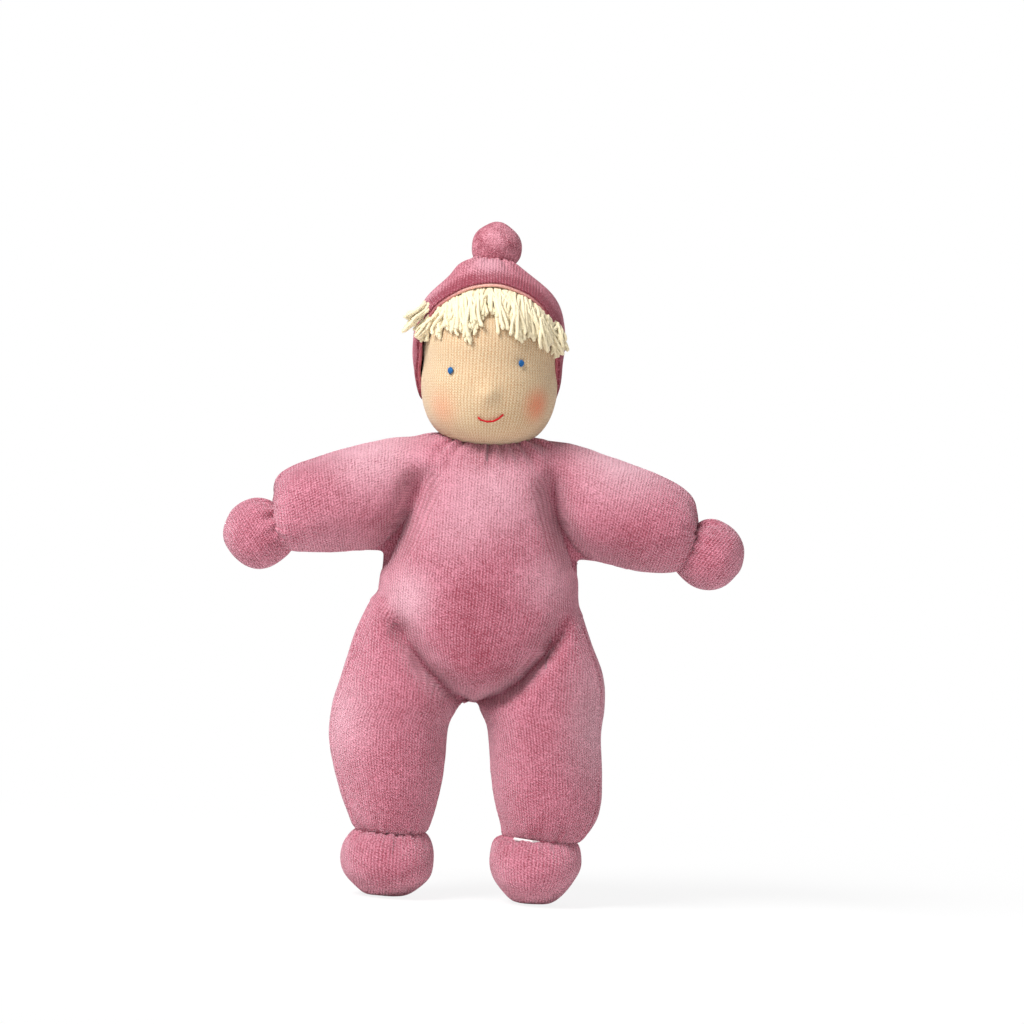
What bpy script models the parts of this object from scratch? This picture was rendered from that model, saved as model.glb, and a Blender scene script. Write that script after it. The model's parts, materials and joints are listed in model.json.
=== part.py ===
"""Soft stuffed doll in a one-piece velour suit and bonnet, standing upright.

Every sewn cover, every stuffing and every tying thread is its own object.
Units are metres, +Z is up and the face looks along -Y. Left means the doll's
own left, which is +X. The soles lie on Z = 0.
"""

import math

import bmesh
import bpy
from mathutils import Vector

# Cloth, thread and clearances
VELOUR = 0.0012
TRICOT = 0.0008
HAT_CLOTH = 0.0016
GAP = 0.0003
SWING_GAP = 0.0004
THREAD = 0.0012
EYE_THREAD = 0.0009
CUT_REACH = 0.4

# Feet
FOOT_HEIGHT = 0.0272
FOOT_WIDTH = 0.0408
FOOT_DEPTH = 0.0440
FOOT_FORWARD = 0.0030
ANKLE_BALL = 0.0100
ANKLE_GROOVE = 0.0044

# Legs
LEG_LENGTH = 0.0758
LEG_SPACING = 0.0660
THIGH_WIDTH = 0.0500
THIGH_DEPTH = 0.0480
LEG_SPLAY = 0.0020

# Torso
TORSO_HEIGHT = 0.0990
TORSO_WIDTH = 0.0980
TORSO_DEPTH = 0.0590
CROTCH_DEPTH = 0.0175

# Arms
SHOULDER_SPAN = 0.0990
SHOULDER_DROP = 0.0287
SHOULDER_WIDTH = 0.0520
ARM_LENGTH = 0.0455
ARM_DEPTH = 0.0400
ARM_BOW = 0.0014
ARM_DROOP = math.radians(14.4)

# Hands
HAND_LENGTH = 0.0225
HAND_WIDTH = 0.0310
HAND_DEPTH = 0.0270
WRIST_BALL = 0.0084
WRIST_GROOVE = 0.0052
HAND_DROOP = math.radians(10.0)

# Neck and head
NECK_BALL = 0.0220
NECK_PEG = 0.0150
NECK_PEG_HEIGHT = 0.0130
NECK_SINK = 0.0070
NECK_RISE = 0.0035
HEAD_HEIGHT = 0.0745
HEAD_WIDTH = 0.0608
HEAD_DEPTH = 0.0660

# Face
EYE_SPREAD = 0.0308
EYE_HEIGHT = 0.0349
EYE_OFFSET = 0.0017
EYE_TILT = math.radians(9.0)
EYE_SIZE = 0.0034
EYE_BULGE = 0.0010
MOUTH_WIDTH = 0.0109
MOUTH_HEIGHT = 0.0107
MOUTH_CURVE = 0.0018
MOUTH_OFFSET = 0.0013
MOUTH_TILT = math.radians(10.0)
NOSE_HEIGHT = 0.0231
NOSE_WIDTH = 0.0064
NOSE_BULGE = 0.0016
EYE_LINE_HEIGHT = 0.0355

# Hair and hat
HAIR_THICKNESS = 0.0026
HAIR_DROP = 0.0210
HAT_EASE = 0.0013
HAT_TOP_EASE = 0.0006
HAT_NAPE = 0.0115
HAT_BROW = 0.0680
HAT_BROW_FORWARD = 0.0200
HAT_CHEEK = 0.0240
HAT_CHEEK_FORWARD = 0.0020
HAT_HOLE = 0.0060
BALL_SIZE = 0.0195
BALL_NECK = 0.0046
BALL_GROOVE = 0.0030

# How far each joint swings, for the sockets that the swinging pieces need
HIP_FORWARD = math.radians(75.0)
HIP_BACK = math.radians(15.0)
SEAT_ROOM = math.radians(10.0)
ARM_DOWN = math.radians(30.0)
NOD = math.radians(12.0)

# Outlines as shares of a piece's own length, width and depth, from the bottom up
LEG_SHARES = (
    (0.000, 0.1, 0.44, 0.44),
    (0.006, 0.1, 0.60, 0.60),
    (0.028, 0.2, 0.70, 0.69),
    (0.090, 0.5, 0.79, 0.78),
    (0.200, 0.8, 0.91, 0.90),
    (0.380, 1.0, 0.99, 0.97),
    (0.560, 0.9, 1.01, 0.99),
    (0.736, 0.4, 1.01, 1.00),
    (0.868, 0.0, 1.00, 1.00),
)
FOOT_SHARES = (
    (0.000, 0.56, 0.60),
    (0.028, 0.71, 0.75),
    (0.110, 0.87, 0.89),
    (0.250, 0.97, 0.98),
    (0.560, 1.00, 1.00),
    (0.760, 0.96, 0.95),
    (0.890, 0.89, 0.87),
    (0.970, 0.79, 0.77),
    (0.997, 0.62, 0.60),
)
ARM_SHARES = (
    (0.000, 0.0, 1.00, 1.00),
    (0.170, 0.5, 0.965, 0.99),
    (0.340, 0.8, 0.900, 0.97),
    (0.680, 1.0, 0.790, 0.90),
    (0.850, 0.7, 0.735, 0.84),
    (0.950, 0.4, 0.660, 0.75),
    (0.988, 0.2, 0.530, 0.61),
)
HAND_SHARES = (
    (0.010, 0.62, 0.64),
    (0.060, 0.80, 0.82),
    (0.170, 0.93, 0.94),
    (0.400, 1.00, 1.00),
    (0.600, 0.96, 0.96),
    (0.790, 0.79, 0.79),
    (0.920, 0.54, 0.54),
    (0.980, 0.28, 0.28),
)
TORSO_SHARES = (
    (0.070, 0.62, 0.66),
    (0.125, 0.82, 0.85),
    (0.205, 0.97, 0.96),
    (0.320, 0.99, 1.00),
    (0.400, 0.925, 0.995),
    (0.500, 0.878, 0.97),
    (0.570, 0.845, 0.94),
    (0.640, 0.740, 0.92),
    (0.725, 0.660, 0.90),
    (0.830, 0.645, 0.86),
    (0.910, 0.655, 0.77),
    (0.965, 0.640, 0.60),
    (0.990, 0.570, 0.42),
    (1.000, 0.480, 0.30),
)
HEAD_SHARES = (
    (0.000, 0.32, 0.32),
    (0.030, 0.52, 0.54),
    (0.092, 0.775, 0.78),
    (0.180, 0.905, 0.90),
    (0.272, 0.97, 0.96),
    (0.400, 1.00, 0.99),
    (0.530, 1.00, 1.00),
    (0.660, 0.94, 0.96),
    (0.780, 0.80, 0.84),
    (0.880, 0.60, 0.65),
    (0.950, 0.38, 0.42),
    (0.985, 0.19, 0.22),
)
HAT_SHARES = (
    (0.000, 0.87, 0.87),
    (0.150, 0.955, 0.955),
    (0.346, 1.00, 1.00),
    (0.496, 1.00, 1.00),
    (0.662, 0.94, 0.955),
    (0.797, 0.86, 0.87),
    (0.872, 0.745, 0.75),
    (0.940, 0.60, 0.60),
    (0.980, 0.46, 0.46),
    (0.996, 0.28, 0.28),
)
CROTCH_WIDTH_SHARE = 0.30
CROTCH_DEPTH_SHARE = 0.34

# Number of sides and rings
BALL_STEPS = 4
TORSO_SIDES = 20
LIMB_SIDES = 16
HEAD_SIDES = 20
END_SIDES = 12
SMALL_SIDES = 8
MOUTH_STEPS = 8
CUTTER_SIDES = 20
RING_STEPS = 14

# Colours, linear, from the photographed doll
ROSE = (0.46, 0.14, 0.19)
WINE = (0.36, 0.07, 0.13)
PEACH = (0.80, 0.52, 0.33)
CREAM = (0.87, 0.77, 0.50)
WOOL = (0.80, 0.74, 0.62)
BLUE = (0.03, 0.16, 0.50)
RED = (0.60, 0.02, 0.03)
THREAD_WHITE = (0.85, 0.80, 0.78)

# Places worked out from the sizes above
ANKLE_Z = FOOT_HEIGHT + ANKLE_GROOVE / 2
HIP_Z = ANKLE_Z + LEG_LENGTH
HIP_X = LEG_SPACING / 2
TORSO_TOP = HIP_Z + TORSO_HEIGHT
SHOULDER_X = SHOULDER_SPAN / 2
SHOULDER_Z = TORSO_TOP - SHOULDER_DROP
NECK_Z = TORSO_TOP - NECK_SINK
HEAD_ROUND = max(HEAD_WIDTH, HEAD_DEPTH)
HAT_GROWTH = 2 * (GAP + HAT_EASE + HAT_CLOTH)
HAT_CROWN = NECK_RISE + HEAD_HEIGHT + GAP + HAT_TOP_EASE + HAT_CLOTH
BALL_PIVOT = HAT_CROWN + BALL_GROOVE / 2


def clear_scene():
    """Take every object out of the open scene."""
    for item in list(bpy.data.objects):
        bpy.data.objects.remove(item)


def make_collection(name):
    """A new collection linked to the scene."""
    group = bpy.data.collections.new(name)
    bpy.context.scene.collection.children.link(group)
    return group


def make_material(name, colour, roughness):
    """A plain cloth or thread material."""
    material = bpy.data.materials.new(name)
    material.use_nodes = True
    shader = material.node_tree.nodes["Principled BSDF"]
    shader.inputs["Base Color"].default_value = (*colour, 1.0)
    shader.inputs["Roughness"].default_value = roughness
    shader.inputs["Metallic"].default_value = 0.0
    material.diffuse_color = (*colour, 1.0)
    return material


def make_axis(name, location, parent=None, turn=0.0):
    """An empty on a joint's axis, which carries the pieces that move there."""
    axis = bpy.data.objects.new(name, None)
    axis.empty_display_size = THIGH_WIDTH
    axis.location = location
    axis.rotation_euler = (0, turn, 0)
    axis.parent = parent
    doll.objects.link(axis)
    return axis


def link_piece(name, mesh, material, axis):
    """Put a mesh in the doll as a named piece on its axis."""
    piece = bpy.data.objects.new(name, mesh)
    piece.parent = axis
    mesh.materials.clear()
    mesh.materials.append(material)
    mesh.shade_smooth()
    mesh.set_sharp_from_angle(angle=math.radians(50))
    doll.objects.link(piece)
    return piece


def link_cutter(name, mesh, axis):
    """Put a mesh among the cutters, which are not part of the doll."""
    cutter = bpy.data.objects.new(name, mesh)
    cutter.parent = axis
    cutter.hide_render = True
    cutter.display_type = "WIRE"
    cutters.objects.link(cutter)
    return cutter


def cut(piece, cutter, operation="DIFFERENCE", solver="EXACT"):
    """Cut a piece by a cutter, or join it on."""
    boolean = piece.modifiers.new(cutter.name, "BOOLEAN")
    boolean.operation = operation
    boolean.solver = solver
    boolean.object = cutter


def thicken(piece, cloth):
    """Give an open surface the thickness of its cloth, inwards."""
    shell = piece.modifiers.new("Cloth", "SOLIDIFY")
    shell.thickness = cloth
    shell.offset = -1
    shell.use_even_offset = True


def loft(name, rows, sides, open_low=False, open_high=False):
    """A skin through level ovals, each row being x, y, z, width and depth."""
    bm = bmesh.new()
    rings = []
    for x, y, z, width, depth in rows:
        ring = []
        if width == 0:
            ring.append(bm.verts.new((x, y, z)))
        else:
            for step in range(sides):
                angle = math.tau * step / sides
                across = x + width / 2 * math.cos(angle)
                along = y + depth / 2 * math.sin(angle)
                ring.append(bm.verts.new((across, along, z)))
        rings.append(ring)
    for low, high in zip(rings, rings[1:]):
        for step in range(sides):
            following = (step + 1) % sides
            if len(low) == 1:
                bm.faces.new((low[0], high[following], high[step]))
            elif len(high) == 1:
                bm.faces.new((low[step], low[following], high[0]))
            else:
                bm.faces.new((low[step], low[following], high[following], high[step]))
    if len(rings[0]) > 1 and not open_low:
        bm.faces.new(list(reversed(rings[0])))
    if len(rings[-1]) > 1 and not open_high:
        bm.faces.new(rings[-1])
    mesh = bpy.data.meshes.new(name)
    bm.to_mesh(mesh)
    bm.free()
    return mesh


def resized(rows, change):
    """The same rows grown or shrunk by a change in length, width and depth."""
    low = min(row[2] for row in rows)
    high = max(row[2] for row in rows)
    middle = (low + high) / 2
    tall = 1 + change / (high - low)
    wide = 1 + change / max(row[3] for row in rows)
    deep = 1 + change / max(row[4] for row in rows)
    return [
        (x, y, middle + (z - middle) * tall, width * wide, depth * deep)
        for x, y, z, width, depth in rows
    ]


def dome(width, depth, height, base=0.0):
    """The rows of half an ovoid above a base, without its widest row."""
    rows = []
    for step in range(1, BALL_STEPS):
        angle = math.pi / 2 * step / BALL_STEPS
        round_share = math.cos(angle)
        rows.append((0, 0, base + height * math.sin(angle), width * round_share, depth * round_share))
    rows.append((0, 0, base + height, 0, 0))
    return rows


def ovoid(name, width, depth, height, sides=CUTTER_SIDES):
    """A closed ovoid about the origin whose flats clear the size given."""
    outward = 1 / math.cos(math.pi / sides)
    mesh = bpy.data.meshes.new(name)
    bm = bmesh.new()
    bmesh.ops.create_uvsphere(bm, u_segments=sides, v_segments=sides // 2, radius=outward / 2)
    bmesh.ops.scale(bm, vec=(width, depth, height), verts=bm.verts)
    bm.to_mesh(mesh)
    bm.free()
    return mesh


def ball_room(name, ball):
    """The round room that a ball of a given size turns in."""
    size = ball + 2 * SWING_GAP
    return ovoid(name, size, size, size)


def block(name, low, high):
    """A box between two corners."""
    mesh = bpy.data.meshes.new(name)
    bm = bmesh.new()
    bmesh.ops.create_cube(bm, size=1)
    size = Vector(high) - Vector(low)
    bmesh.ops.scale(bm, vec=size, verts=bm.verts)
    bmesh.ops.translate(bm, vec=(Vector(high) + Vector(low)) / 2, verts=bm.verts)
    bm.to_mesh(mesh)
    bm.free()
    return mesh


def thread_ring(name, width, depth, height, thickness):
    """A closed ring of thread round an oval."""
    curve = bpy.data.curves.new(name, "CURVE")
    curve.dimensions = "3D"
    curve.bevel_depth = thickness / 2
    curve.bevel_resolution = 0
    spline = curve.splines.new("POLY")
    spline.points.add(RING_STEPS - 1)
    for step, point in enumerate(spline.points):
        angle = math.tau * step / RING_STEPS
        point.co = (width / 2 * math.cos(angle), depth / 2 * math.sin(angle), height, 1)
    spline.use_cyclic_u = True
    return curve_mesh(name, curve)


def curve_mesh(name, curve):
    """Turn a curve into a closed mesh."""
    guide = bpy.data.objects.new(name + "_guide", curve)
    bpy.context.scene.collection.objects.link(guide)
    graph = bpy.context.evaluated_depsgraph_get()
    mesh = bpy.data.meshes.new_from_object(guide.evaluated_get(graph))
    bpy.data.objects.remove(guide)
    bm = bmesh.new()
    bm.from_mesh(mesh)
    bmesh.ops.remove_doubles(bm, verts=bm.verts, dist=GAP / 10)
    bm.to_mesh(mesh)
    bm.free()
    mesh.name = name
    return mesh


def leg_rows(side):
    """The rows of a leg about its hip axis, from the ankle to the round top."""
    rows = []
    for up_share, out_share, width_share, depth_share in LEG_SHARES:
        height = -(LEG_LENGTH - ANKLE_GROOVE / 2) * (1 - up_share)
        outward = side * LEG_SPLAY * out_share
        rows.append((outward, 0, height, THIGH_WIDTH * width_share, THIGH_DEPTH * depth_share))
    rows.append((0, 0, 0, THIGH_WIDTH, THIGH_DEPTH))
    return rows + dome(THIGH_WIDTH, THIGH_DEPTH, THIGH_DEPTH / 2)


def foot_rows():
    """The rows of a foot about its ankle, from the flat sole up."""
    rows = []
    for up_share, width_share, depth_share in FOOT_SHARES:
        height = FOOT_HEIGHT * up_share - ANKLE_Z
        rows.append((0, -FOOT_FORWARD, height, FOOT_WIDTH * width_share, FOOT_DEPTH * depth_share))
    hole = ANKLE_BALL + 2 * SWING_GAP
    rows.append((0, 0, FOOT_HEIGHT - ANKLE_Z, hole, hole))
    return rows


def arm_rows(side):
    """The rows of an arm about its shoulder axis, from the round root to the wrist."""
    rows = []
    for x, y, z, width, depth in reversed(dome(SHOULDER_WIDTH, ARM_DEPTH, SHOULDER_WIDTH / 2)):
        rows.append((x, y, -z, width, depth))
    for out_share, bow_share, width_share, depth_share in ARM_SHARES:
        bow = -side * ARM_BOW * bow_share
        reach = (ARM_LENGTH - WRIST_GROOVE / 2) * out_share
        rows.append((bow, 0, reach, SHOULDER_WIDTH * width_share, ARM_DEPTH * depth_share))
    hole = WRIST_BALL + 2 * SWING_GAP
    rows.append((0, 0, ARM_LENGTH - WRIST_GROOVE / 2, hole, hole))
    return rows


def hand_rows():
    """The rows of a hand about its wrist, out to the round end."""
    hole = WRIST_BALL + 2 * SWING_GAP
    rows = [(0, 0, WRIST_GROOVE / 2, hole, hole)]
    for out_share, width_share, depth_share in HAND_SHARES:
        reach = WRIST_GROOVE / 2 + HAND_LENGTH * out_share
        rows.append((0, 0, reach, HAND_WIDTH * width_share, HAND_DEPTH * depth_share))
    rows.append((0, 0, WRIST_GROOVE / 2 + HAND_LENGTH, 0, 0))
    return rows


def torso_rows():
    """The rows of the torso above the hip axes, from the crotch to the shoulders."""
    whole = TORSO_HEIGHT + CROTCH_DEPTH
    rows = [(0, 0, -CROTCH_DEPTH, TORSO_WIDTH * CROTCH_WIDTH_SHARE, TORSO_DEPTH * CROTCH_DEPTH_SHARE)]
    for up_share, width_share, depth_share in TORSO_SHARES:
        height = whole * up_share - CROTCH_DEPTH
        rows.append((0, 0, height, TORSO_WIDTH * width_share, TORSO_DEPTH * depth_share))
    return rows


def head_rows(width=HEAD_WIDTH, depth=HEAD_DEPTH):
    """The rows of the head above its neck axis."""
    rows = []
    for up_share, width_share, depth_share in HEAD_SHARES:
        height = NECK_RISE + HEAD_HEIGHT * up_share
        rows.append((0, 0, height, width * width_share, depth * depth_share))
    rows.append((0, 0, NECK_RISE + HEAD_HEIGHT, 0, 0))
    return rows


def neck_ball_rows(size, peg, peg_height):
    """The rows of a ball with a peg on top."""
    rows = []
    for x, y, z, width, depth in reversed(dome(size, size, size / 2)):
        rows.append((x, y, -z, width, depth))
    rows.append((0, 0, 0, size, size))
    rows.append((0, 0, GAP, size, size))
    rows.append((0, 0, 2 * GAP, peg, peg))
    rows.append((0, 0, peg_height, peg, peg))
    return rows


def front_of_head(x, height):
    """How far in front of the head's middle its skin lies at a place on the face."""
    share = height / HEAD_HEIGHT
    for low, high in zip(HEAD_SHARES, HEAD_SHARES[1:]):
        if low[0] <= share <= high[0]:
            blend = (share - low[0]) / (high[0] - low[0])
            width = HEAD_WIDTH * (low[1] + (high[1] - low[1]) * blend)
            depth = HEAD_DEPTH * (low[2] + (high[2] - low[2]) * blend)
            return depth / 2 * math.sqrt(1 - (2 * x / width) ** 2)
    raise ValueError("the place is not on the face")


def split_cover(name, side_name, mesh, cloth_cut, material, axis, extra_cuts=()):
    """The front and the back panel of a cover, with the side seams between them."""
    for panel, seam in (("front", seam_behind), ("back", seam_before)):
        node = f"{name}_{panel}{side_name}"
        piece = link_piece(node, mesh.copy(), material, axis)
        thicken(piece, cloth_cut)
        cut(piece, seam)
        for cutter in extra_cuts:
            cut(piece, cutter, solver="MANIFOLD")


def swing_cutter(name, rows, axis, angle, about):
    """A cutter in the shape of a limb swung out to an angle about X or Y."""
    cutter = link_cutter(name, loft(name, rows, CUTTER_SIDES), axis)
    cutter.rotation_euler = (angle, 0, 0) if about == "X" else (0, angle, 0)
    return cutter


def limb_rooms(name, width, depth, splay, axis, swings, about):
    """The round room of a limb's root, and the room of the limb at each end of its swing."""
    rooms = [link_cutter(name + "_root", root_ovoid(name, width, depth, about), axis)]
    outward = 1 / math.cos(math.pi / CUTTER_SIDES)
    wide = (width + 2 * (GAP + splay)) * outward
    deep = (depth + 2 * GAP) * outward
    rows = [(0, 0, -2 * (width + depth), wide, deep), (0, 0, 0, wide, deep)]
    for swing_name, angle in swings:
        rooms.append(swing_cutter(name + swing_name, rows, axis, angle, about))
    return rooms


def root_ovoid(name, width, depth, about):
    """The ovoid room of a limb's root, round about its own joint axis."""
    slack = 2 * SWING_GAP
    height = depth if about == "X" else width
    return ovoid(name + "_root", width + slack, depth + slack, height + slack)


def hip_cutters(side, side_name, torso_axis):
    """The room that a leg sweeps under the belly and under the seat."""
    hip = make_axis("hip_room" + side_name, (side * HIP_X, 0, 0), torso_axis)
    back = HIP_BACK + SEAT_ROOM
    swings = (("_forward", -HIP_FORWARD), ("_back", back))
    rooms = limb_rooms("thigh" + side_name, THIGH_WIDTH, THIGH_DEPTH, LEG_SPLAY / 2, hip, swings, "X")
    wide = THIGH_WIDTH / 2 + GAP + LEG_SPLAY / 2
    reach = 2 * (THIGH_WIDTH + THIGH_DEPTH)
    for swing_name, angle, near, far in (
        ("_under_belly", -HIP_FORWARD, 0, reach),
        ("_under_seat", back, -reach, 0),
    ):
        mesh = block("under", (-wide, near, -reach), (wide, far, 0))
        under = link_cutter("thigh" + side_name + swing_name, mesh, hip)
        under.rotation_euler = (angle, 0, 0)
        rooms.append(under)
    return rooms


def shoulder_cutters(side, side_name, torso_axis):
    """The room that an arm sweeps at the shoulder."""
    place = (side * SHOULDER_X, 0, SHOULDER_Z - HIP_Z)
    shoulder = make_axis("shoulder_room" + side_name, place, torso_axis)
    level = math.radians(-90) + ARM_DROOP
    swings = (("_lowered", side * (level + ARM_DOWN)),)
    return limb_rooms("arm" + side_name, SHOULDER_WIDTH, ARM_DEPTH, 0, shoulder, swings, "Y")


def neck_cutters(torso_axis):
    """The seat of the head and the socket of the neck in the top of the torso."""
    neck = make_axis("neck_room", (0, 0, NECK_Z - HIP_Z), torso_axis)
    outward = 1 / math.cos(math.pi / CUTTER_SIDES)
    rows = resized(head_rows(HEAD_ROUND * outward, HEAD_ROUND * outward), 2 * SWING_GAP)
    socket = link_cutter("neck_socket", ball_room("neck_socket", NECK_BALL), neck)
    return [
        socket,
        swing_cutter("head_forward", rows, neck, NOD, "X"),
        swing_cutter("head_back", rows, neck, -NOD, "X"),
    ]


def build_torso(torso_axis):
    """The torso's two velour panels round its stuffing, with room for what swings there."""
    rooms = neck_cutters(torso_axis)
    for side, side_name in SIDES:
        rooms += hip_cutters(side, side_name, torso_axis)
        rooms += shoulder_cutters(side, side_name, torso_axis)
    cover = loft("torso_cover", torso_rows(), TORSO_SIDES, open_high=True)
    split_cover("torso", "", cover, VELOUR, rose, torso_axis, rooms)
    inner = loft("torso_stuffing", resized(torso_rows(), -2 * (VELOUR + 3 * GAP)), TORSO_SIDES)
    stuffing = link_piece("torso_stuffing", inner, wool, torso_axis)
    for room in rooms:
        cut(stuffing, room, solver="MANIFOLD")


def tie_thread(name, ball, axis, place):
    """The thread that ties a cover in round its neck."""
    size = ball + 2 * GAP + THREAD
    ring = link_piece(name, thread_ring(name, size, size, 0, THREAD), white, axis)
    ring.location = place


def necked_stuffing(name, rows, ball, axis):
    """A stuffing with the round neck that its tie grips, as one solid."""
    inner = resized(rows, -2 * (VELOUR + GAP))
    piece = link_piece(name, loft(name, inner, END_SIDES), wool, axis)
    neck_mesh = loft(name + "_neck", neck_rows_through(ball, inner), SMALL_SIDES)
    cut(piece, link_cutter(name + "_neck", neck_mesh, axis), "UNION")


def neck_rows_through(ball, inner):
    """The rows of a tied neck, a ball on a stem that reaches into the stuffing."""
    low = min(row[2] for row in inner)
    high = max(row[2] for row in inner)
    toward = 1 if low > 0 else -1
    deep = (low + high) / 2
    rows = [(x, y, -toward * z, w, d) for x, y, z, w, d in dome(ball, ball, ball / 2)]
    rows.append((0, 0, 0, ball, ball))
    stem = ball * math.cos(math.pi / 6)
    rows.append((0, 0, toward * ball / 4, stem, stem))
    rows.append((0, 0, deep, stem, stem))
    return sorted(rows, key=lambda row: row[2])


def build_arm(side, side_name, torso_axis):
    """One arm with its sleeve panels, stuffing and wrist tie, and its hand."""
    place = (side * SHOULDER_X, 0, SHOULDER_Z - HIP_Z)
    turn = side * (math.radians(90) + ARM_DROOP)
    shoulder = make_axis("shoulder_axis" + side_name, place, torso_axis, turn)
    rows = arm_rows(side)
    sleeve = loft("sleeve", rows, LIMB_SIDES, open_high=True)
    split_cover("sleeve", side_name, sleeve, VELOUR, rose, shoulder)
    inner = resized(rows[:-1], -2 * (VELOUR + GAP))
    stuffing = link_piece("arm_stuffing" + side_name, loft("arm", inner, LIMB_SIDES), wool, shoulder)
    hollow = ball_room("wrist_hollow", WRIST_BALL)
    wrist_hollow = link_cutter("wrist_hollow" + side_name, hollow, shoulder)
    wrist_hollow.location = (0, 0, ARM_LENGTH)
    cut(stuffing, wrist_hollow)
    tie_thread("wrist_tie" + side_name, WRIST_BALL, shoulder, (0, 0, ARM_LENGTH))
    wrist = make_axis("wrist_axis" + side_name, (0, 0, ARM_LENGTH), shoulder, side * HAND_DROOP)
    glove = loft("hand_cover", hand_rows(), END_SIDES, open_low=True)
    thicken(link_piece("hand_cover" + side_name, glove, rose, wrist), VELOUR)
    necked_stuffing("hand_stuffing" + side_name, hand_rows()[1:], WRIST_BALL, wrist)


def build_leg(side, side_name, torso_axis):
    """One leg with its panels, stuffing and ankle tie, and its foot."""
    hip = make_axis("hip_axis" + side_name, (side * HIP_X, 0, 0), torso_axis)
    hole = ANKLE_BALL + 2 * SWING_GAP
    rows = leg_rows(side)
    open_row = (0, 0, -LEG_LENGTH + ANKLE_GROOVE / 2, hole, hole)
    cover = loft("leg_cover", [open_row] + rows, LIMB_SIDES, open_low=True)
    split_cover("leg", side_name, cover, VELOUR, rose, hip)
    inner = resized(rows, -2 * (VELOUR + GAP))
    stuffing = link_piece("leg_stuffing" + side_name, loft("leg", inner, LIMB_SIDES), wool, hip)
    hollow = ball_room("ankle_hollow", ANKLE_BALL)
    ankle_hollow = link_cutter("ankle_hollow" + side_name, hollow, hip)
    ankle_hollow.location = (0, 0, -LEG_LENGTH)
    cut(stuffing, ankle_hollow)
    tie_thread("ankle_tie" + side_name, ANKLE_BALL, hip, (0, 0, -LEG_LENGTH))
    ankle = make_axis("ankle_axis" + side_name, (0, 0, -LEG_LENGTH), hip)
    boot = loft("foot_cover", foot_rows(), END_SIDES, open_high=True)
    thicken(link_piece("foot_cover" + side_name, boot, rose, ankle), VELOUR)
    necked_stuffing("foot_stuffing" + side_name, foot_rows()[:-1], ANKLE_BALL, ankle)


def build_neck(neck_axis):
    """The tied-off neck: a ball in the torso's neckline with a peg up into the head."""
    rows = neck_ball_rows(NECK_BALL, NECK_PEG, NECK_PEG_HEIGHT)
    link_piece("neck_stump", loft("neck_stump", rows, LIMB_SIDES), wool, neck_axis)
    size = NECK_PEG + 2 * GAP + EYE_THREAD
    mesh = thread_ring("neck_tie", size, size, 0, EYE_THREAD)
    tie = link_piece("neck_tie", mesh, white, neck_axis)
    tie.location = (0, 0, 3 * GAP + EYE_THREAD / 2)


def peg_room(head_axis):
    """The round hole in the head for the neck's peg."""
    size = NECK_PEG + 2 * SWING_GAP
    outward = 1 / math.cos(math.pi / CUTTER_SIDES)
    top = NECK_PEG_HEIGHT + SWING_GAP
    rows = [(0, 0, 0, size * outward, size * outward), (0, 0, top, size * outward, size * outward)]
    return link_cutter("peg_room", loft("peg_room", rows, CUTTER_SIDES), head_axis)


def build_head(head_axis):
    """The tricot skin over the wool core, with the nose and the eye-line thread between."""
    peg = peg_room(head_axis)
    shape = loft("head_skin", head_rows(), HEAD_SIDES, open_low=True)
    skin = link_piece("head_skin", shape, peach, head_axis)
    thicken(skin, TRICOT)
    core_rows = resized(head_rows(), -2 * (TRICOT + GAP))
    core = link_piece("head_core", loft("head_core", core_rows, HEAD_SIDES), wool, head_axis)
    cut(core, peg)
    build_nose(head_axis, skin, core)
    build_eye_line(head_axis, core)


def build_nose(head_axis, skin, core):
    """A pinch of wool under the skin makes the nose."""
    place = (0, -front_of_head(0, NOSE_HEIGHT) + TRICOT, NECK_RISE + NOSE_HEIGHT)
    sizes = (NOSE_WIDTH, 2 * NOSE_BULGE, NOSE_WIDTH)
    pad = link_piece("nose_wool", ovoid("nose_wool", *sizes, SMALL_SIDES), wool, head_axis)
    pad.location = place
    roomy = [size + 2 * SWING_GAP for size in sizes]
    room = link_cutter("nose_room", ovoid("nose_room", *roomy, SMALL_SIDES), head_axis)
    room.location = place
    mouth = [NOSE_WIDTH * 3 / 4, 4 * NOSE_BULGE, NOSE_WIDTH * 3 / 4]
    way_in = link_cutter("nose_way_in", ovoid("nose_way_in", *mouth, SMALL_SIDES), head_axis)
    way_in.location = (0, place[1] + 2 * NOSE_BULGE, place[2])
    outer = [size + 2 * (SWING_GAP + TRICOT) for size in sizes]
    bump = link_cutter("nose_bump", ovoid("nose_bump", *outer, SMALL_SIDES), head_axis)
    bump.location = place
    cut(skin, bump, "UNION")
    cut(skin, room)
    cut(skin, way_in)
    outer = [size + 2 * GAP for size in outer]
    pocket = link_cutter("nose_pocket", ovoid("nose_pocket", *outer, SMALL_SIDES), head_axis)
    pocket.location = place
    cut(core, pocket)


def build_eye_line(head_axis, core):
    """The thread that ties the core in at the height of the eyes."""
    share = EYE_LINE_HEIGHT / HEAD_HEIGHT
    slack = 2 * (TRICOT + 2 * GAP) + EYE_THREAD
    width = HEAD_WIDTH * math.cos(math.pi / HEAD_SIDES) - slack
    depth = HEAD_DEPTH * math.cos(math.pi / HEAD_SIDES) - slack
    height = NECK_RISE + HEAD_HEIGHT * share
    mesh = thread_ring("eye_line_thread", width, depth, height, EYE_THREAD)
    link_piece("eye_line_thread", mesh, white, head_axis)
    groove = thread_ring("eye_line_groove", width, depth, height, EYE_THREAD + 4 * GAP)
    cut(core, link_cutter("eye_line_groove", groove, head_axis))


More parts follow.
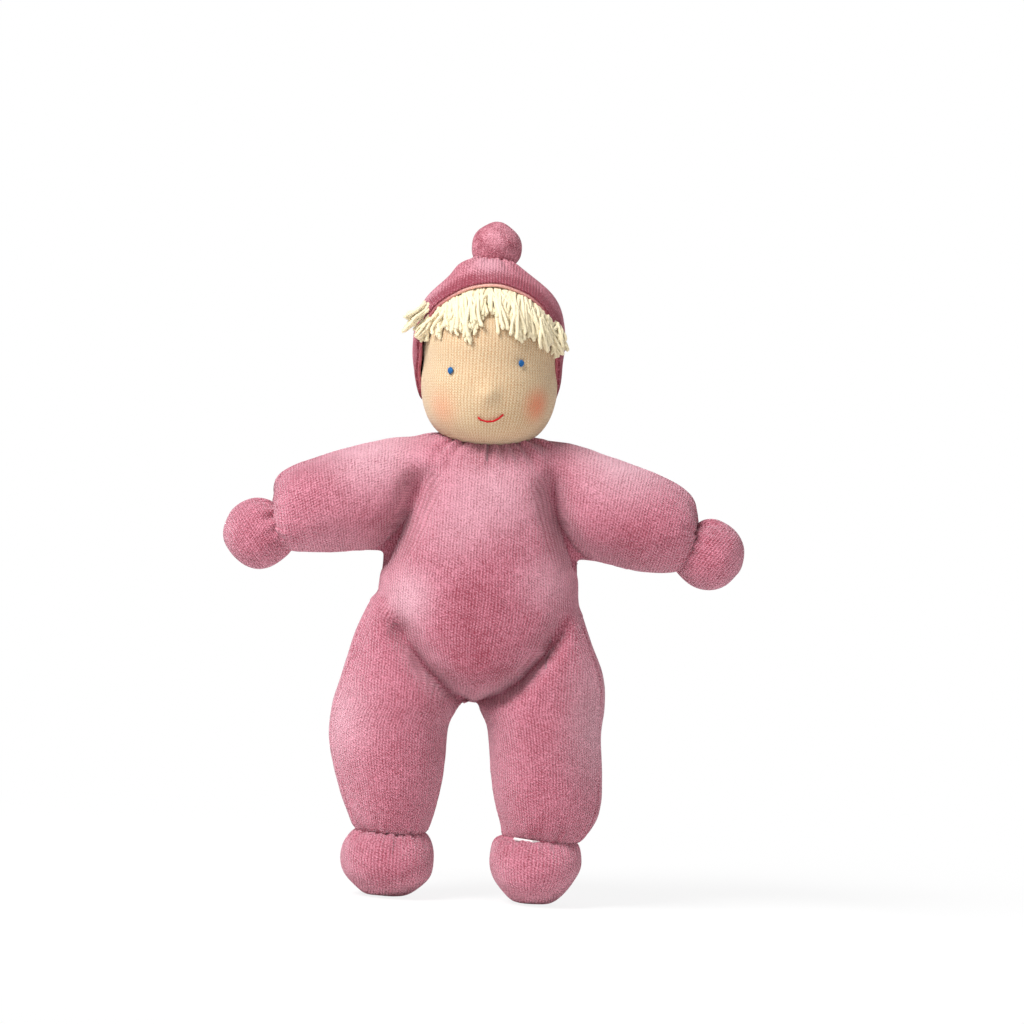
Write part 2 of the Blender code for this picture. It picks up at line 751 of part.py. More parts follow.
def build_face(head_axis):
    """Two stitched eyes and a stitched mouth on the skin."""
    for side, side_name in SIDES:
        x = -EYE_OFFSET + side * EYE_SPREAD / 2 * math.cos(EYE_TILT)
        height = EYE_HEIGHT + side * EYE_SPREAD / 2 * math.sin(EYE_TILT)
        eye = link_piece(
            "eye" + side_name,
            ovoid("eye", EYE_SIZE, EYE_BULGE, EYE_SIZE, SMALL_SIDES),
            blue,
            head_axis,
        )
        forward = front_of_head(x, height) + EYE_BULGE / 2 + GAP
        eye.location = (x, -forward, NECK_RISE + height)
        eye.rotation_euler = (0, 0, math.asin(2 * x / HEAD_WIDTH))
    mouth = bpy.data.curves.new("mouth_stitch", "CURVE")
    mouth.dimensions = "3D"
    mouth.bevel_depth = EYE_THREAD / 2
    mouth.bevel_resolution = 0
    mouth.use_fill_caps = True
    spline = mouth.splines.new("POLY")
    spline.points.add(MOUTH_STEPS)
    for step, point in enumerate(spline.points):
        along = (step / MOUTH_STEPS - 1 / 2) * MOUTH_WIDTH
        dip = MOUTH_CURVE * (1 - (2 * along / MOUTH_WIDTH) ** 2)
        x = MOUTH_OFFSET + along
        height = MOUTH_HEIGHT + MOUTH_CURVE - dip + along * math.sin(MOUTH_TILT)
        forward = front_of_head(x, height) + EYE_THREAD / 2 + GAP
        point.co = (x, -forward, NECK_RISE + height, 1)
    link_piece("mouth_stitch", curve_mesh("mouth_stitch", mouth), red, head_axis)


def hat_rows():
    """The rows of the hat over the head, from the nape to the hole under its ball."""
    width = HEAD_WIDTH + HAT_GROWTH
    depth = HEAD_DEPTH + HAT_GROWTH
    low = NECK_RISE + HAT_NAPE
    rows = []
    for up_share, width_share, depth_share in HAT_SHARES:
        height = low + (HAT_CROWN - low) * up_share
        rows.append((0, 0, height, width * width_share, depth * depth_share))
    rows.append((0, 0, HAT_CROWN, HAT_HOLE, HAT_HOLE))
    return rows


def brow_cutter(name, near, far, axis):
    """A block on one side of the sloping line from the brow to the cheeks."""
    low = (-CUT_REACH / 2, min(near, far), -CUT_REACH / 2)
    high = (CUT_REACH / 2, max(near, far), CUT_REACH / 2)
    cutter = link_cutter(name, block(name, low, high), axis)
    cutter.location = (0, -HAT_CHEEK_FORWARD, NECK_RISE + HAT_CHEEK)
    rise = HAT_BROW - HAT_CHEEK
    cutter.rotation_euler = (math.atan2(HAT_BROW_FORWARD - HAT_CHEEK_FORWARD, rise), 0, 0)
    return cutter


def build_hat(head_axis):
    """The velour bonnet and the thread under its ball."""
    shape = loft("hat", hat_rows(), HEAD_SIDES, open_low=True, open_high=True)
    hat = link_piece("hat", shape, wine, head_axis)
    thicken(hat, HAT_CLOTH)
    cut(hat, brow_cutter("face_opening", 0, -CUT_REACH, head_axis))
    tie_thread("hat_tie", BALL_NECK, head_axis, (0, 0, BALL_PIVOT))


def build_hair(head_axis):
    """The fringe of yarn as one curved pad on the forehead, under the hat's brim."""
    grown = resized(head_rows(), 2 * (2 * GAP + HAIR_THICKNESS))
    rows = [row for row in grown if row[3] > 0 and row[2] > NECK_RISE + HEAD_HEIGHT / 2]
    shape = loft("hair_fringe", rows, HEAD_SIDES, open_low=True, open_high=True)
    hair = link_piece("hair_fringe", shape, cream, head_axis)
    thicken(hair, HAIR_THICKNESS)
    cut(hair, brow_cutter("hair_line", -GAP, CUT_REACH, head_axis))
    bottom = NECK_RISE + HAT_BROW - HAIR_DROP
    below = block("hair_ends", (-CUT_REACH, -CUT_REACH, -CUT_REACH), (CUT_REACH, CUT_REACH, bottom))
    cut(hair, link_cutter("hair_ends", below, head_axis))


def ball_rows():
    """The rows of the hat's ball above its pivot."""
    radius = BALL_SIZE / 2
    middle = BALL_GROOVE / 2 + radius
    hole = BALL_NECK + 2 * SWING_GAP
    rows = [(0, 0, middle - radius, hole, hole)]
    steps = 2 * BALL_STEPS
    for step in range(1, steps):
        angle = math.pi * step / steps
        width = BALL_SIZE * math.sin(angle)
        rows.append((0, 0, middle - radius * math.cos(angle), width, width))
    rows.append((0, 0, middle + radius, 0, 0))
    return rows


def build_ball(ball_axis):
    """The ball at the tip of the hat, a velour cover round its stuffing."""
    shape = loft("hat_ball_cover", ball_rows(), END_SIDES, open_low=True)
    cover = link_piece("hat_ball_cover", shape, wine, ball_axis)
    thicken(cover, VELOUR)
    necked_stuffing("hat_ball_stuffing", ball_rows()[1:], BALL_NECK, ball_axis)


SIDES = ((1, "_left"), (-1, "_right"))

clear_scene()
doll = make_collection("soft_doll")
cutters = make_collection("cutters")
rose = make_material("rose_velour", ROSE, 0.9)
wine = make_material("wine_velour", WINE, 0.9)
peach = make_material("peach_tricot", PEACH, 0.85)
cream = make_material("cream_yarn", CREAM, 0.9)
wool = make_material("wool_stuffing", WOOL, 0.95)
white = make_material("tying_thread", THREAD_WHITE, 0.8)
blue = make_material("blue_thread", BLUE, 0.6)
red = make_material("red_thread", RED, 0.6)

seam_behind = link_cutter(
    "seam_behind",
    block("seam_behind", (-CUT_REACH, -GAP / 2, -CUT_REACH), (CUT_REACH, CUT_REACH, CUT_REACH)),
    None,
)
seam_before = link_cutter(
    "seam_before",
    block("seam_before", (-CUT_REACH, -CUT_REACH, -CUT_REACH), (CUT_REACH, GAP / 2, CUT_REACH)),
    None,
)

torso_axis = make_axis("hip_line", (0, 0, HIP_Z))
neck_axis = make_axis("neck_axis", (0, 0, NECK_Z - HIP_Z), torso_axis)
head_axis = make_axis("head_axis", (0, 0, 0), neck_axis)
ball_axis = make_axis("ball_axis", (0, 0, BALL_PIVOT), head_axis)

build_torso(torso_axis)
build_neck(neck_axis)
build_head(head_axis)
build_face(head_axis)
build_hair(head_axis)
build_hat(head_axis)
build_ball(ball_axis)
for side, side_name in SIDES:
    build_arm(side, side_name, torso_axis)
    build_leg(side, side_name, torso_axis)
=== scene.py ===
"""Dressed model of a soft doll in a ribbed velour suit and bonnet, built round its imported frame."""
import json
import math
import random

import bmesh
import bpy
import numpy as np
from mathutils import Matrix, Vector, noise

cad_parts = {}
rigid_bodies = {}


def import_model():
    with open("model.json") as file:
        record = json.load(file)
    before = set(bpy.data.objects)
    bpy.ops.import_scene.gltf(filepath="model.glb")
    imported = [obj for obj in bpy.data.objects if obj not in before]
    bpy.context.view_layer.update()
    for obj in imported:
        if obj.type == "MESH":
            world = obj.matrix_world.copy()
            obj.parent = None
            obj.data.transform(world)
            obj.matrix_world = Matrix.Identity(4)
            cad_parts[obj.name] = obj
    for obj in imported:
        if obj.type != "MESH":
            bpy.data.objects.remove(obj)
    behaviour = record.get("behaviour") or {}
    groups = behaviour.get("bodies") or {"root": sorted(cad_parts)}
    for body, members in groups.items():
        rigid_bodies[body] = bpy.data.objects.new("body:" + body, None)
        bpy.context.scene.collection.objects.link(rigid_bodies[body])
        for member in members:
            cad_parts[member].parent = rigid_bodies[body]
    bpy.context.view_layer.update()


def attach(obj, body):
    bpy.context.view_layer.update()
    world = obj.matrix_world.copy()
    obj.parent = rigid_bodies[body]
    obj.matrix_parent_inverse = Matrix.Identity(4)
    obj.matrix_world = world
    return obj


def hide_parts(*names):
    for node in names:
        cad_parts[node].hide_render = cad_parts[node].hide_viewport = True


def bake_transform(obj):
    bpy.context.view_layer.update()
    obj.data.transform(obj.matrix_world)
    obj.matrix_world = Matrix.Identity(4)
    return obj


bl_info = {
    "name": "Soft Velour Doll",
    "version": (1, 0, 0),
    "blender": (4, 5, 0),
    "location": "View3D > Sidebar > Soft Doll",
    "description": "Adds the sewn, stuffed and stitched pieces of a soft doll",
    "category": "Add Mesh",
}

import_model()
MM = 0.001
SIDES = (("_right", -1), ("_left", 1))

# Rows of the stuffed forms in millimetres: place along the form, low edge, high edge, front, back.
# Of the tables with two sets, -1 is the doll's right and 1 its left.
TRUNK_ROWS = (
    (87.4, -5, 4, -8, 8), (89.6, -14, 13, -18, 17), (94.5, -25, 25, -25, 23), (104, -35, 35, -29, 27.5),
    (116, -42, 42, -31, 29.5), (128, -44, 45.6, -31.5, 30), (140, -43.2, 44.8, -31, 29.5),
    (152, -42.8, 43.6, -30, 28.5), (166, -39, 40, -28.5, 27.5), (180, -38, 39, -26, 25.5),
    (190, -38, 39, -22.5, 22.5), (197.5, -37.5, 39, -17.5, 18), (202.3, -33.5, 36.5, -13, 13.5),
    (204.8, -22.5, 26.5, -8.5, 9),
)
ARM_ROWS = {
    -1: (
        (-22, 157, 203.6, -13, 16), (-34, 152.8, 203.4, -15, 18), (-44, 151.6, 202.0, -18, 20),
        (-56, 151.2, 197.9, -20.5, 21), (-68, 149.2, 194.1, -21, 21), (-78, 148.8, 190.4, -20, 20),
        (-85, 148.8, 187.3, -18, 18), (-90.2, 151, 183.2, -14, 14), (-92.2, 156, 178.5, -8.5, 8.5),
    ),
    1: (
        (22, 158, 204.6, -13, 16), (34, 153.8, 204.8, -15, 18), (44, 152.8, 203.2, -18, 20),
        (56, 151.8, 199.2, -20.5, 21), (68, 148.7, 195.6, -21, 21), (78, 148.5, 191.6, -20, 20),
        (87, 149, 187.4, -18, 18), (92.8, 152, 183.2, -14, 14), (95, 157.5, 178.5, -8.5, 8.5),
    ),
}
LEG_ROWS = {
    -1: (
        (27.4, -47, -18.5, -13, 13), (29.0, -50, -15.6, -16.5, 16.5), (34, -51.8, -14.4, -18.5, 18.5),
        (41, -54.6, -12.3, -20.5, 20.5), (52, -58.8, -10.4, -22.5, 22.5), (64, -62.2, -10, -23.8, 24),
        (76, -62.6, -10.0, -24.3, 25), (81.5, -62, -7.4, -24.5, 25.5),
        (86, -61.0, -3.2, -24.5, 26), (96, -58.4, -4, -24.5, 27),
        (106, -56.2, -8, -23.5, 26), (116, -53.2, -16, -21, 24), (125, -49.8, -25, -17, 19),
        (133, -46, -33, -11, 13),
    ),
    1: (
        (27.4, 18.5, 49, -13, 13), (29.0, 16.8, 52.8, -16.5, 16.5), (34, 15.9, 57.2, -18.5, 18.5),
        (41, 12.9, 60.2, -20.5, 20.5), (52, 11.0, 60.5, -22.5, 22.5), (64, 9.9, 59, -23.8, 24),
        (76, 8, 58.2, -24.3, 25), (81.5, 5.6, 58.8, -24.5, 25.5),
        (86, 1.6, 59.4, -24.5, 26), (96, 3, 59.8, -24.5, 27),
        (106, 7, 57.4, -23.5, 26), (116, 15, 51.8, -21, 24), (125, 24, 47.8, -17, 19),
        (133, 32, 46, -11, 13),
    ),
}
FOOT_ROWS = {
    -1: (
        (0, -41.6, -25, -10, 10), (1.2, -44, -22, -14, 12.5), (4, -47.2, -18, -19, 15),
        (9, -52.4, -13.2, -23.6, 17.5), (15, -54.2, -12.2, -24.8, 18.5), (20, -53.9, -12.4, -23.2, 18.3),
        (24, -52.6, -13.6, -20.5, 17), (27.4, -50, -15.8, -17, 15.5), (29.2, -46.5, -19, -12.5, 12.5),
    ),
    1: (
        (0, 24.5, 39.6, -10, 10), (1.2, 22, 41.8, -14, 12.5), (4, 19.2, 44.6, -19, 15),
        (9, 14.4, 48.8, -23.6, 17.5), (15, 11.8, 52.4, -24.8, 18.5), (20, 11.6, 53.1, -23.2, 18.3),
        (24, 12.2, 52.4, -20.5, 17), (27.4, 13.8, 51, -17, 15.5), (29.2, 18, 48, -12.5, 12.5),
    ),
}
HAND_ROWS = (
    (-3, -7, 7, -7, 7), (-0.8, -11.6, 11.6, -9.8, 9.8), (3.2, -15, 14.9, -12.4, 12.4),
    (8.8, -16, 15.8, -13.8, 13.8), (14.2, -15.5, 15.2, -13.8, 13.8), (19.4, -12.9, 12.6, -12, 12),
    (23, -8.6, 8.6, -8.4, 8.4), (24.6, -4, 4, -4, 4),
)
HEAD_ROWS = (
    (200.4, -8, 8, -11, 9), (202, -15.5, 15.5, -18.5, 16), (205, -21.3, 21.6, -24, 22),
    (210, -25.8, 26, -28, 26.3), (216, -28.6, 28.8, -30, 29), (223, -30.2, 30.3, -30.8, 31),
    (231, -30.9, 30.9, -31, 32.3), (240, -31, 30.3, -31, 32.6), (250, -30, 29.6, -30.4, 31.6),
    (259, -27, 26.8, -27.4, 28.6), (266, -21.6, 21.6, -22, 23), (271, -14, 14, -14.5, 15),
    (273.6, -6, 6, -6, 6),
)
HAT_ROWS = (
    (211, -24, 23.4, -24, 28.5), (217, -29, 28.2, -27, 32), (226, -33, 31.2, -30.4, 34.6),
    (236, -34.9, 32.4, -32, 36), (246, -35.4, 32.9, -32.4, 36), (256, -34.4, 32.5, -31.5, 34.2),
    (263.5, -31.9, 30.2, -29, 30.6), (269.5, -26.4, 25.6, -25, 25.6), (274.5, -19.9, 18.8, -21, 19.6),
    (278.5, -18, 13.4, -17, 14.6), (281.6, -14.8, 9.2, -13.6, 9), (283.4, -9.5, 6, -9.5, 3),
)
BALL_ROWS = (
    (279, -4.6, 4.6, -4, 5), (281, -8.2, 7.4, -6, 8), (284, -10.8, 10.6, -8, 10.5),
    (288, -11.6, 11.5, -9.6, 11.6), (292, -11.3, 11, -9.4, 11.4), (296, -8.8, 8.4, -7.4, 9.2),
    (298.6, -5, 4.6, -3.8, 5.4), (299.6, -2.2, 2, -1.4, 2.6),
)


# ---------------------------------------------------------------- hand tools


def deselect():
    """Clears the selection, because an operator acts on all that is selected."""
    if bpy.context.object is not None and bpy.context.object.mode != "OBJECT":
        bpy.ops.object.mode_set(mode="OBJECT")
    bpy.ops.object.select_all(action="DESELECT")


def pick(*pieces):
    """Selects the pieces and makes the first one active."""
    deselect()
    for piece in pieces:
        piece.select_set(True)
    bpy.context.view_layer.objects.active = pieces[0]
    return pieces[0]


def read(items, key, width=1, kind=float):
    """One value of each item as an array, with a row for each item if the value has several numbers."""
    values = np.empty(len(items) * width, dtype=kind)
    items.foreach_get(key, values)
    return values.reshape(-1, width) if width > 1 else values


def points(piece):
    """The piece's vertices as an array, in metres."""
    return read(piece.data.vertices, "co", 3)


def normals(piece):
    """The piece's vertex normals as an array."""
    return read(piece.data.vertex_normals, "vector", 3)


def set_points(piece, places):
    """Puts the vertices at new places."""
    piece.data.vertices.foreach_set("co", np.ascontiguousarray(places, float).ravel())
    piece.data.update()


def finish_modifier(piece, kind, **settings):
    """Adds a modifier with its settings and applies it."""
    pick(piece)
    modifier = piece.modifiers.new(kind.title(), kind)
    for name, value in settings.items():
        setattr(modifier, name, value)
    bpy.ops.object.modifier_apply(modifier=modifier.name)


def face_out(piece):
    """Turns every face of a closed piece outwards."""
    pick(piece)
    bpy.ops.object.mode_set(mode="EDIT")
    face_out_and_leave()


def face_out_and_leave():
    """Turns the faces of the piece in edit mode outwards, and goes back to object mode."""
    bpy.ops.mesh.select_all(action="SELECT")
    bpy.ops.mesh.normals_make_consistent(inside=False)
    bpy.ops.object.mode_set(mode="OBJECT")


def subdivide(piece, levels):
    """Rounds the piece with a subdivision surface and applies it."""
    finish_modifier(piece, "SUBSURF", levels=levels, render_levels=levels)


def stuffed_form(name, rows, sides=32, levels=2, sideways=False):
    """A closed stuffed form: a disc extruded from row to row, closed at its end and subdivided."""
    deselect()
    bpy.ops.mesh.primitive_circle_add(vertices=sides, radius=1, fill_type="TRIFAN")
    piece = bpy.context.active_object
    piece.name = piece.data.name = name
    bpy.ops.object.mode_set(mode="EDIT")
    bpy.ops.mesh.select_all(action="SELECT")
    last_middle, last_half = Vector((0, 0, 0)), (1, 1)
    for number, (along, low, high, front, back) in enumerate(rows):
        middle = Vector(((low + high) / 2, (front + back) / 2, along)) * MM
        half = ((high - low) / 2 * MM, (back - front) / 2 * MM)
        if number:
            bpy.ops.mesh.extrude_region_move(TRANSFORM_OT_translate={"value": middle - last_middle})
        else:
            bpy.ops.transform.translate(value=middle)
        ratio = (half[0] / last_half[0], half[1] / last_half[1], 1)
        bpy.ops.transform.resize(value=ratio, center_override=middle)
        last_middle, last_half = middle, half
    face_out_and_leave()
    if sideways:
        set_points(piece, points(piece)[:, [2, 1, 0]])
        face_out(piece)
    subdivide(piece, levels)
    return piece


def stand_at(piece, matrix):
    """Moves the mesh itself, so that the object stays at the origin."""
    piece.data.transform(matrix)
    piece.data.update()


def smooth(piece):
    """Shades the piece smooth."""
    pick(piece)
    bpy.ops.object.shade_smooth()


def path_lengths(corners):
    """The length of each step of a path, and how far along the path each corner lies."""
    steps = np.linalg.norm(np.diff(corners, axis=0), axis=1)
    return steps, np.concatenate(([0], np.cumsum(steps)))


def away_from_line(places, path):
    """Each point's distance to a line in the front view, and its share of the way along the line."""
    flat = places[:, [0, 2]]
    corners = np.array(path) * MM
    lengths, starts = path_lengths(corners)
    nearest = np.full(len(flat), 9.0)
    along = np.zeros(len(flat))
    for begin, end, length, passed in zip(corners[:-1], corners[1:], lengths, starts):
        share = np.clip(((flat - begin) @ (end - begin)) / length**2, 0, 1)
        distance = np.linalg.norm(flat - begin - share[:, None] * (end - begin), axis=1)
        closer = distance < nearest
        nearest[closer] = distance[closer]
        along[closer] = (passed + share[closer] * length) / starts[-1]
    return nearest, along


def bell(gap, width):
    """1 where the gap is 0, falling softly to both sides over the width."""
    return np.exp(-((gap / width) ** 2))


def soft_step(value, low, high):
    """A smooth rise from 0 at low to 1 at high."""
    share = np.clip((value - low) / (high - low), 0, 1)
    return share * share * (3 - 2 * share)


def press_line(piece, path, side, depth, width, fade):
    """Presses a soft valley into the front (-1) or back (1) along a line drawn in the front view."""
    places, ways = points(piece), normals(piece)
    distance, along = away_from_line(places, path)
    facing = soft_step(side * ways[:, 1], 0.0, 0.35)
    amount = depth * MM * bell(distance, width * MM) * facing
    if fade[0]:
        amount *= soft_step(along, 0, fade[0])
    if fade[1]:
        amount *= soft_step(1 - along, 0, fade[1])
    amount = np.minimum(amount, np.maximum(0.0, side * places[:, 1]) * 0.8)
    places[:, 1] -= side * amount
    set_points(piece, places)


def ripple(places, scale, seed):
    """Smooth noise at each point, about -1 to 1."""
    shift = Vector((seed * 7.1, seed * 3.7, seed * 1.9))
    return np.array([noise.noise(Vector(p) / (scale * MM) + shift) for p in places])


def plump(piece, scale, height, seed):
    """Small soft lumps and dents, as a wool filling shows under cloth."""
    places = points(piece)
    set_points(piece, places + normals(piece) * (ripple(places, scale, seed) * height * MM)[:, None])


def gather(piece, origin, axis, reach, folds, depth, seed):
    """Small folds that run from a tied end along the axis and die out over the reach."""
    places, ways = points(piece), normals(piece)
    axis = Vector(axis).normalized()
    across = axis.orthogonal().normalized()
    other = axis.cross(across)
    offset = places - np.array(origin) * MM
    along = offset @ np.array(axis)
    angle = np.arctan2(offset @ np.array(other), offset @ np.array(across))
    rng = random.Random(seed)
    wave = np.zeros(len(places))
    for share in (1.0, 0.63, 1.41):
        wave += math.sqrt(share) * np.cos(round(folds * share) * angle + rng.uniform(0, math.tau))
    fall = bell(along, reach * MM)
    set_points(piece, places + ways * (wave * fall * depth * MM / 2)[:, None])


def thread(name, path, radius, closed=False, sides=8):
    """A round thread along a path in millimetres, with a cloth coordinate along and round it."""
    deselect()
    curve = bpy.data.curves.new(name, "CURVE")
    curve.dimensions = "3D"
    curve.bevel_depth = radius * MM
    curve.bevel_resolution = max(0, sides // 2 - 2)
    curve.use_fill_caps = not closed
    spline = curve.splines.new("POLY")
    spline.points.add(len(path) - 1)
    for point, place in zip(spline.points, path):
        point.co = (*(Vector(place) * MM), 1)
    spline.use_cyclic_u = closed
    piece = bpy.data.objects.new(name, curve)
    bpy.context.collection.objects.link(piece)
    pick(piece)
    bpy.ops.object.convert(target="MESH")
    piece = bpy.context.active_object
    _, run = path_lengths(np.array([tuple(p) for p in path]))
    if not closed:
        run = np.append(run, (0, run[-1]))
    ring = len(piece.data.vertices) // len(run)
    set_cloth_map(piece, np.repeat(run, ring), np.tile(np.arange(ring) / ring, len(run)), turn=1.0)
    smooth(piece)
    return piece


def join(name, pieces):
    """Joins the pieces into one with a plain name."""
    pick(*pieces)
    if len(pieces) > 1:
        bpy.ops.object.join()
    piece = bpy.context.active_object
    piece.name = piece.data.name = name
    return piece


def corner_vertices(piece):
    """The vertex at each face corner."""
    return read(piece.data.loops, "vertex_index", kind=np.int32)


def set_cloth_map(piece, along, across, turn=0.0, axis=0):
    """Writes the cloth coordinate in millimetres, and puts a face that spans a turn's end past it."""
    layer = piece.data.uv_layers.get("Cloth") or piece.data.uv_layers.new(name="Cloth")
    corners = corner_vertices(piece)
    if len(across) != len(corners):
        along, across = along[corners], across[corners]
    pair = np.stack([across, along], axis=1)
    if turn:
        starts = read(piece.data.polygons, "loop_start", kind=np.int32)
        highest = np.maximum.reduceat(pair[:, axis], starts)
        highest = np.repeat(highest, np.diff(np.append(starts, len(corners))))
        pair[:, axis] += turn * (highest - pair[:, axis] > turn / 2)
    layer.data.foreach_set("uv", pair.ravel())


def dress(piece, material, body, slot, *nodes, bend=None, fill=None):
    """Gives a piece its material, hides the listed nodes, and puts it on its body, or bakes its place
    into its mesh when it has a bend; the filling is not used.
    """
    piece.data.materials.clear()
    piece.data.materials.append(material)
    if bend:
        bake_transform(piece)
    else:
        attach(piece, body)
    if nodes:
        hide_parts(*nodes)


def ring_path(middle, across, deep, steps=40):
    """Points on an oval round a middle, from its two half widths as vectors."""
    turns = [math.tau * step / steps for step in range(steps)]
    return [middle + across * math.cos(turn) + deep * math.sin(turn) for turn in turns]


# ---------------------------------------------------------------- materials


class Recipe:
    """A node material, written step by step."""

    def __init__(self, name, **shader):
        self.material = bpy.data.materials.new(name)
        self.material.use_nodes = True
        self.tree = self.material.node_tree
        self.shader = self.tree.nodes["Principled BSDF"]
        for name, value in shader.items():
            socket = name.replace("_", " ").title().replace("Ior", "IOR")
            self.shader.inputs[socket].default_value = value

    def add(self, kind, plugs=(), **settings):
        """Adds a node with its settings and what goes into its sockets."""
        node = self.tree.nodes.new(kind)
        for name, value in settings.items():
            setattr(node, name, value)
        for socket, value in plugs:
            self.plug(node.inputs[socket], value)
        return node

    def plug(self, socket, value):
        """Links a socket to a value, or sets it."""
        if isinstance(value, bpy.types.NodeSocket):
            self.tree.links.new(value, socket)
        else:
            socket.default_value = value

    def work(self, operation, *values):
        """The result of a maths node."""
        return self.add("ShaderNodeMath", list(enumerate(values)), operation=operation).outputs[0]

    def times(self, *values):
        """Two values multiplied."""
        return self.work("MULTIPLY", *values)

    def scaled(self, value, scale, base):
        """The value times the scale, on top of the base."""
        return self.work("MULTIPLY_ADD", value, scale, base)

    def place(self):
        """The object's own coordinate, in metres."""
        return self.add("ShaderNodeTexCoord").outputs["Object"]

    def cloth(self):
        """The cloth coordinate in millimetres: across the ribs, and along them."""
        node = self.add("ShaderNodeUVMap", uv_map="Cloth")
        split = self.add("ShaderNodeSeparateXYZ", [(0, node.outputs[0])])
        return split.outputs[0], split.outputs[1]

    def cloud(self, size, detail=2.0, rough=0.5):
        """Noise with lumps of about the size, in millimetres."""
        plugs = [("Vector", self.place()), ("Scale", 1 / (size * MM)), ("Detail", detail),
                 ("Roughness", rough)]
        return self.add("ShaderNodeTexNoise", plugs).outputs[0]

    def wave(self, value, pitch):
        """A cosine of the value that repeats at the pitch, from 0 to 1."""
        turn = self.work("COSINE", self.times(value, math.tau / pitch))
        return self.scaled(turn, 0.5, 0.5)

    def spread(self, value, low, high, to_low=0.0, to_high=1.0):
        """A smooth change from one value to another as the input goes from low to high."""
        plugs = [(0, value), (1, low), (2, high), (3, to_low), (4, to_high)]
        return self.add("ShaderNodeMapRange", plugs, interpolation_type="SMOOTHSTEP").outputs[0]

    def tint(self, share, low, high):
        """A colour that goes from low to high as the share goes from 0 to 1."""
        node = self.add("ShaderNodeMix", data_type="RGBA")
        for socket, value in ((0, share), (6, low), (7, high)):
            self.plug(node.inputs[socket], value)
        return node.outputs[2]

    def near(self, spot, reach):
        """1 at a spot of the object, in millimetres, and 0 beyond the reach."""
        gap = self.add("ShaderNodeVectorMath", [(0, self.place()), (1, tuple(Vector(spot) * MM))],
                       operation="DISTANCE").outputs["Value"]
        return self.spread(gap, 0.0, reach * MM, 1.0, 0.0)

    def finish(self, colour, height, depth):
        """Gives the material its colour and its relief, whose depth is in millimetres."""
        self.plug(self.shader.inputs["Base Color"], colour)
        plugs = [("Strength", 1.0), ("Distance", depth * MM), ("Height", height)]
        bump = self.add("ShaderNodeBump", plugs)
        self.plug(self.shader.inputs["Normal"], bump.outputs[0])
        return self.material


def shade(colour, amount=1.0):
    """The colour with its full alpha, made deeper by the amount."""
    return (*[min(1.0, channel * amount) for channel in colour[:3]], 1.0)


# Pale pink of the painted sheen highlight that the velour gets where light falls on its tops and edges.
PAINTED_SHEEN_COLOUR = (0.86, 0.50, 0.58, 1.0)


def velour(name, colour, pale, pitch, brushed_and_painted_light=(), band=None, sheen=0.75, grain=(0.18, 0.62, 0.62)):
    """Ribbed velour with rows of small loops, painted sheen highlights and painted shade at given spots,
    and a deeper band along an edge.

    The grain is how much of the pattern comes from soft clouds, from the loops and from fine specks.
    """
    recipe = Recipe(name, roughness=0.9, specular_ior_level=0.1, sheen_weight=sheen,
                    sheen_roughness=0.42, sheen_tint=(1.0, 0.72, 0.80, 1.0))
    across, along = recipe.cloth()
    drift = recipe.scaled(recipe.cloud(9, 1), 1.1, across)
    rib = recipe.wave(drift, pitch)
    row = recipe.scaled(recipe.cloud(6, 1), 0.9, along)
    loop = recipe.wave(recipe.scaled(drift, 0.5, row), pitch * 0.9)
    dots = recipe.times(recipe.scaled(rib, 0.75, 0.25), recipe.scaled(loop, 0.6, 0.4))
    speck = recipe.spread(recipe.cloud(0.62, 2, 0.6), 0.28, 0.72)
    patch = recipe.spread(recipe.cloud(26, 2, 0.5), 0.25, 0.75)
    cloudy = recipe.spread(recipe.cloud(6, 4, 0.6), 0.25, 0.75)
    tone = recipe.times(patch, 0.16)
    for part, weight in zip((cloudy, dots, speck), grain):
        tone = recipe.scaled(part, weight, tone)
    # Painted light: spots above 0 paint a pale sheen highlight, spots below 0 paint shade into the tone.
    painted_sheen = 0.0
    for spot, reach, amount in brushed_and_painted_light:
        near = recipe.near(spot, reach)
        if amount < 0:
            tone = recipe.scaled(near, amount, tone)
        else:
            painted_sheen = recipe.scaled(near, amount, painted_sheen)
    if band:
        place, normal, deeper = band
        away = recipe.add("ShaderNodeVectorMath", [(0, recipe.place()), (1, tuple(normal))],
                          operation="DOT_PRODUCT").outputs["Value"]
        edge = normal.dot(place) * MM
        tone = recipe.scaled(recipe.spread(away, edge - 9 * MM, edge - 3 * MM), -deeper, tone)
    cloth_colour = recipe.tint(recipe.spread(tone, 0.17, 1.32), shade(colour, 0.54), shade(pale))
    # The painted sheen highlight tints the cloth towards its pale colour, weaker where the tone is deep.
    if brushed_and_painted_light:
        painted_sheen = recipe.times(painted_sheen, recipe.spread(tone, -0.2, 0.9))
        cloth_colour = recipe.tint(painted_sheen, cloth_colour, PAINTED_SHEEN_COLOUR)
    height = recipe.scaled(dots, grain[1] / grain[2], recipe.times(speck, 0.8))
    return recipe.finish(cloth_colour, height, 0.5)


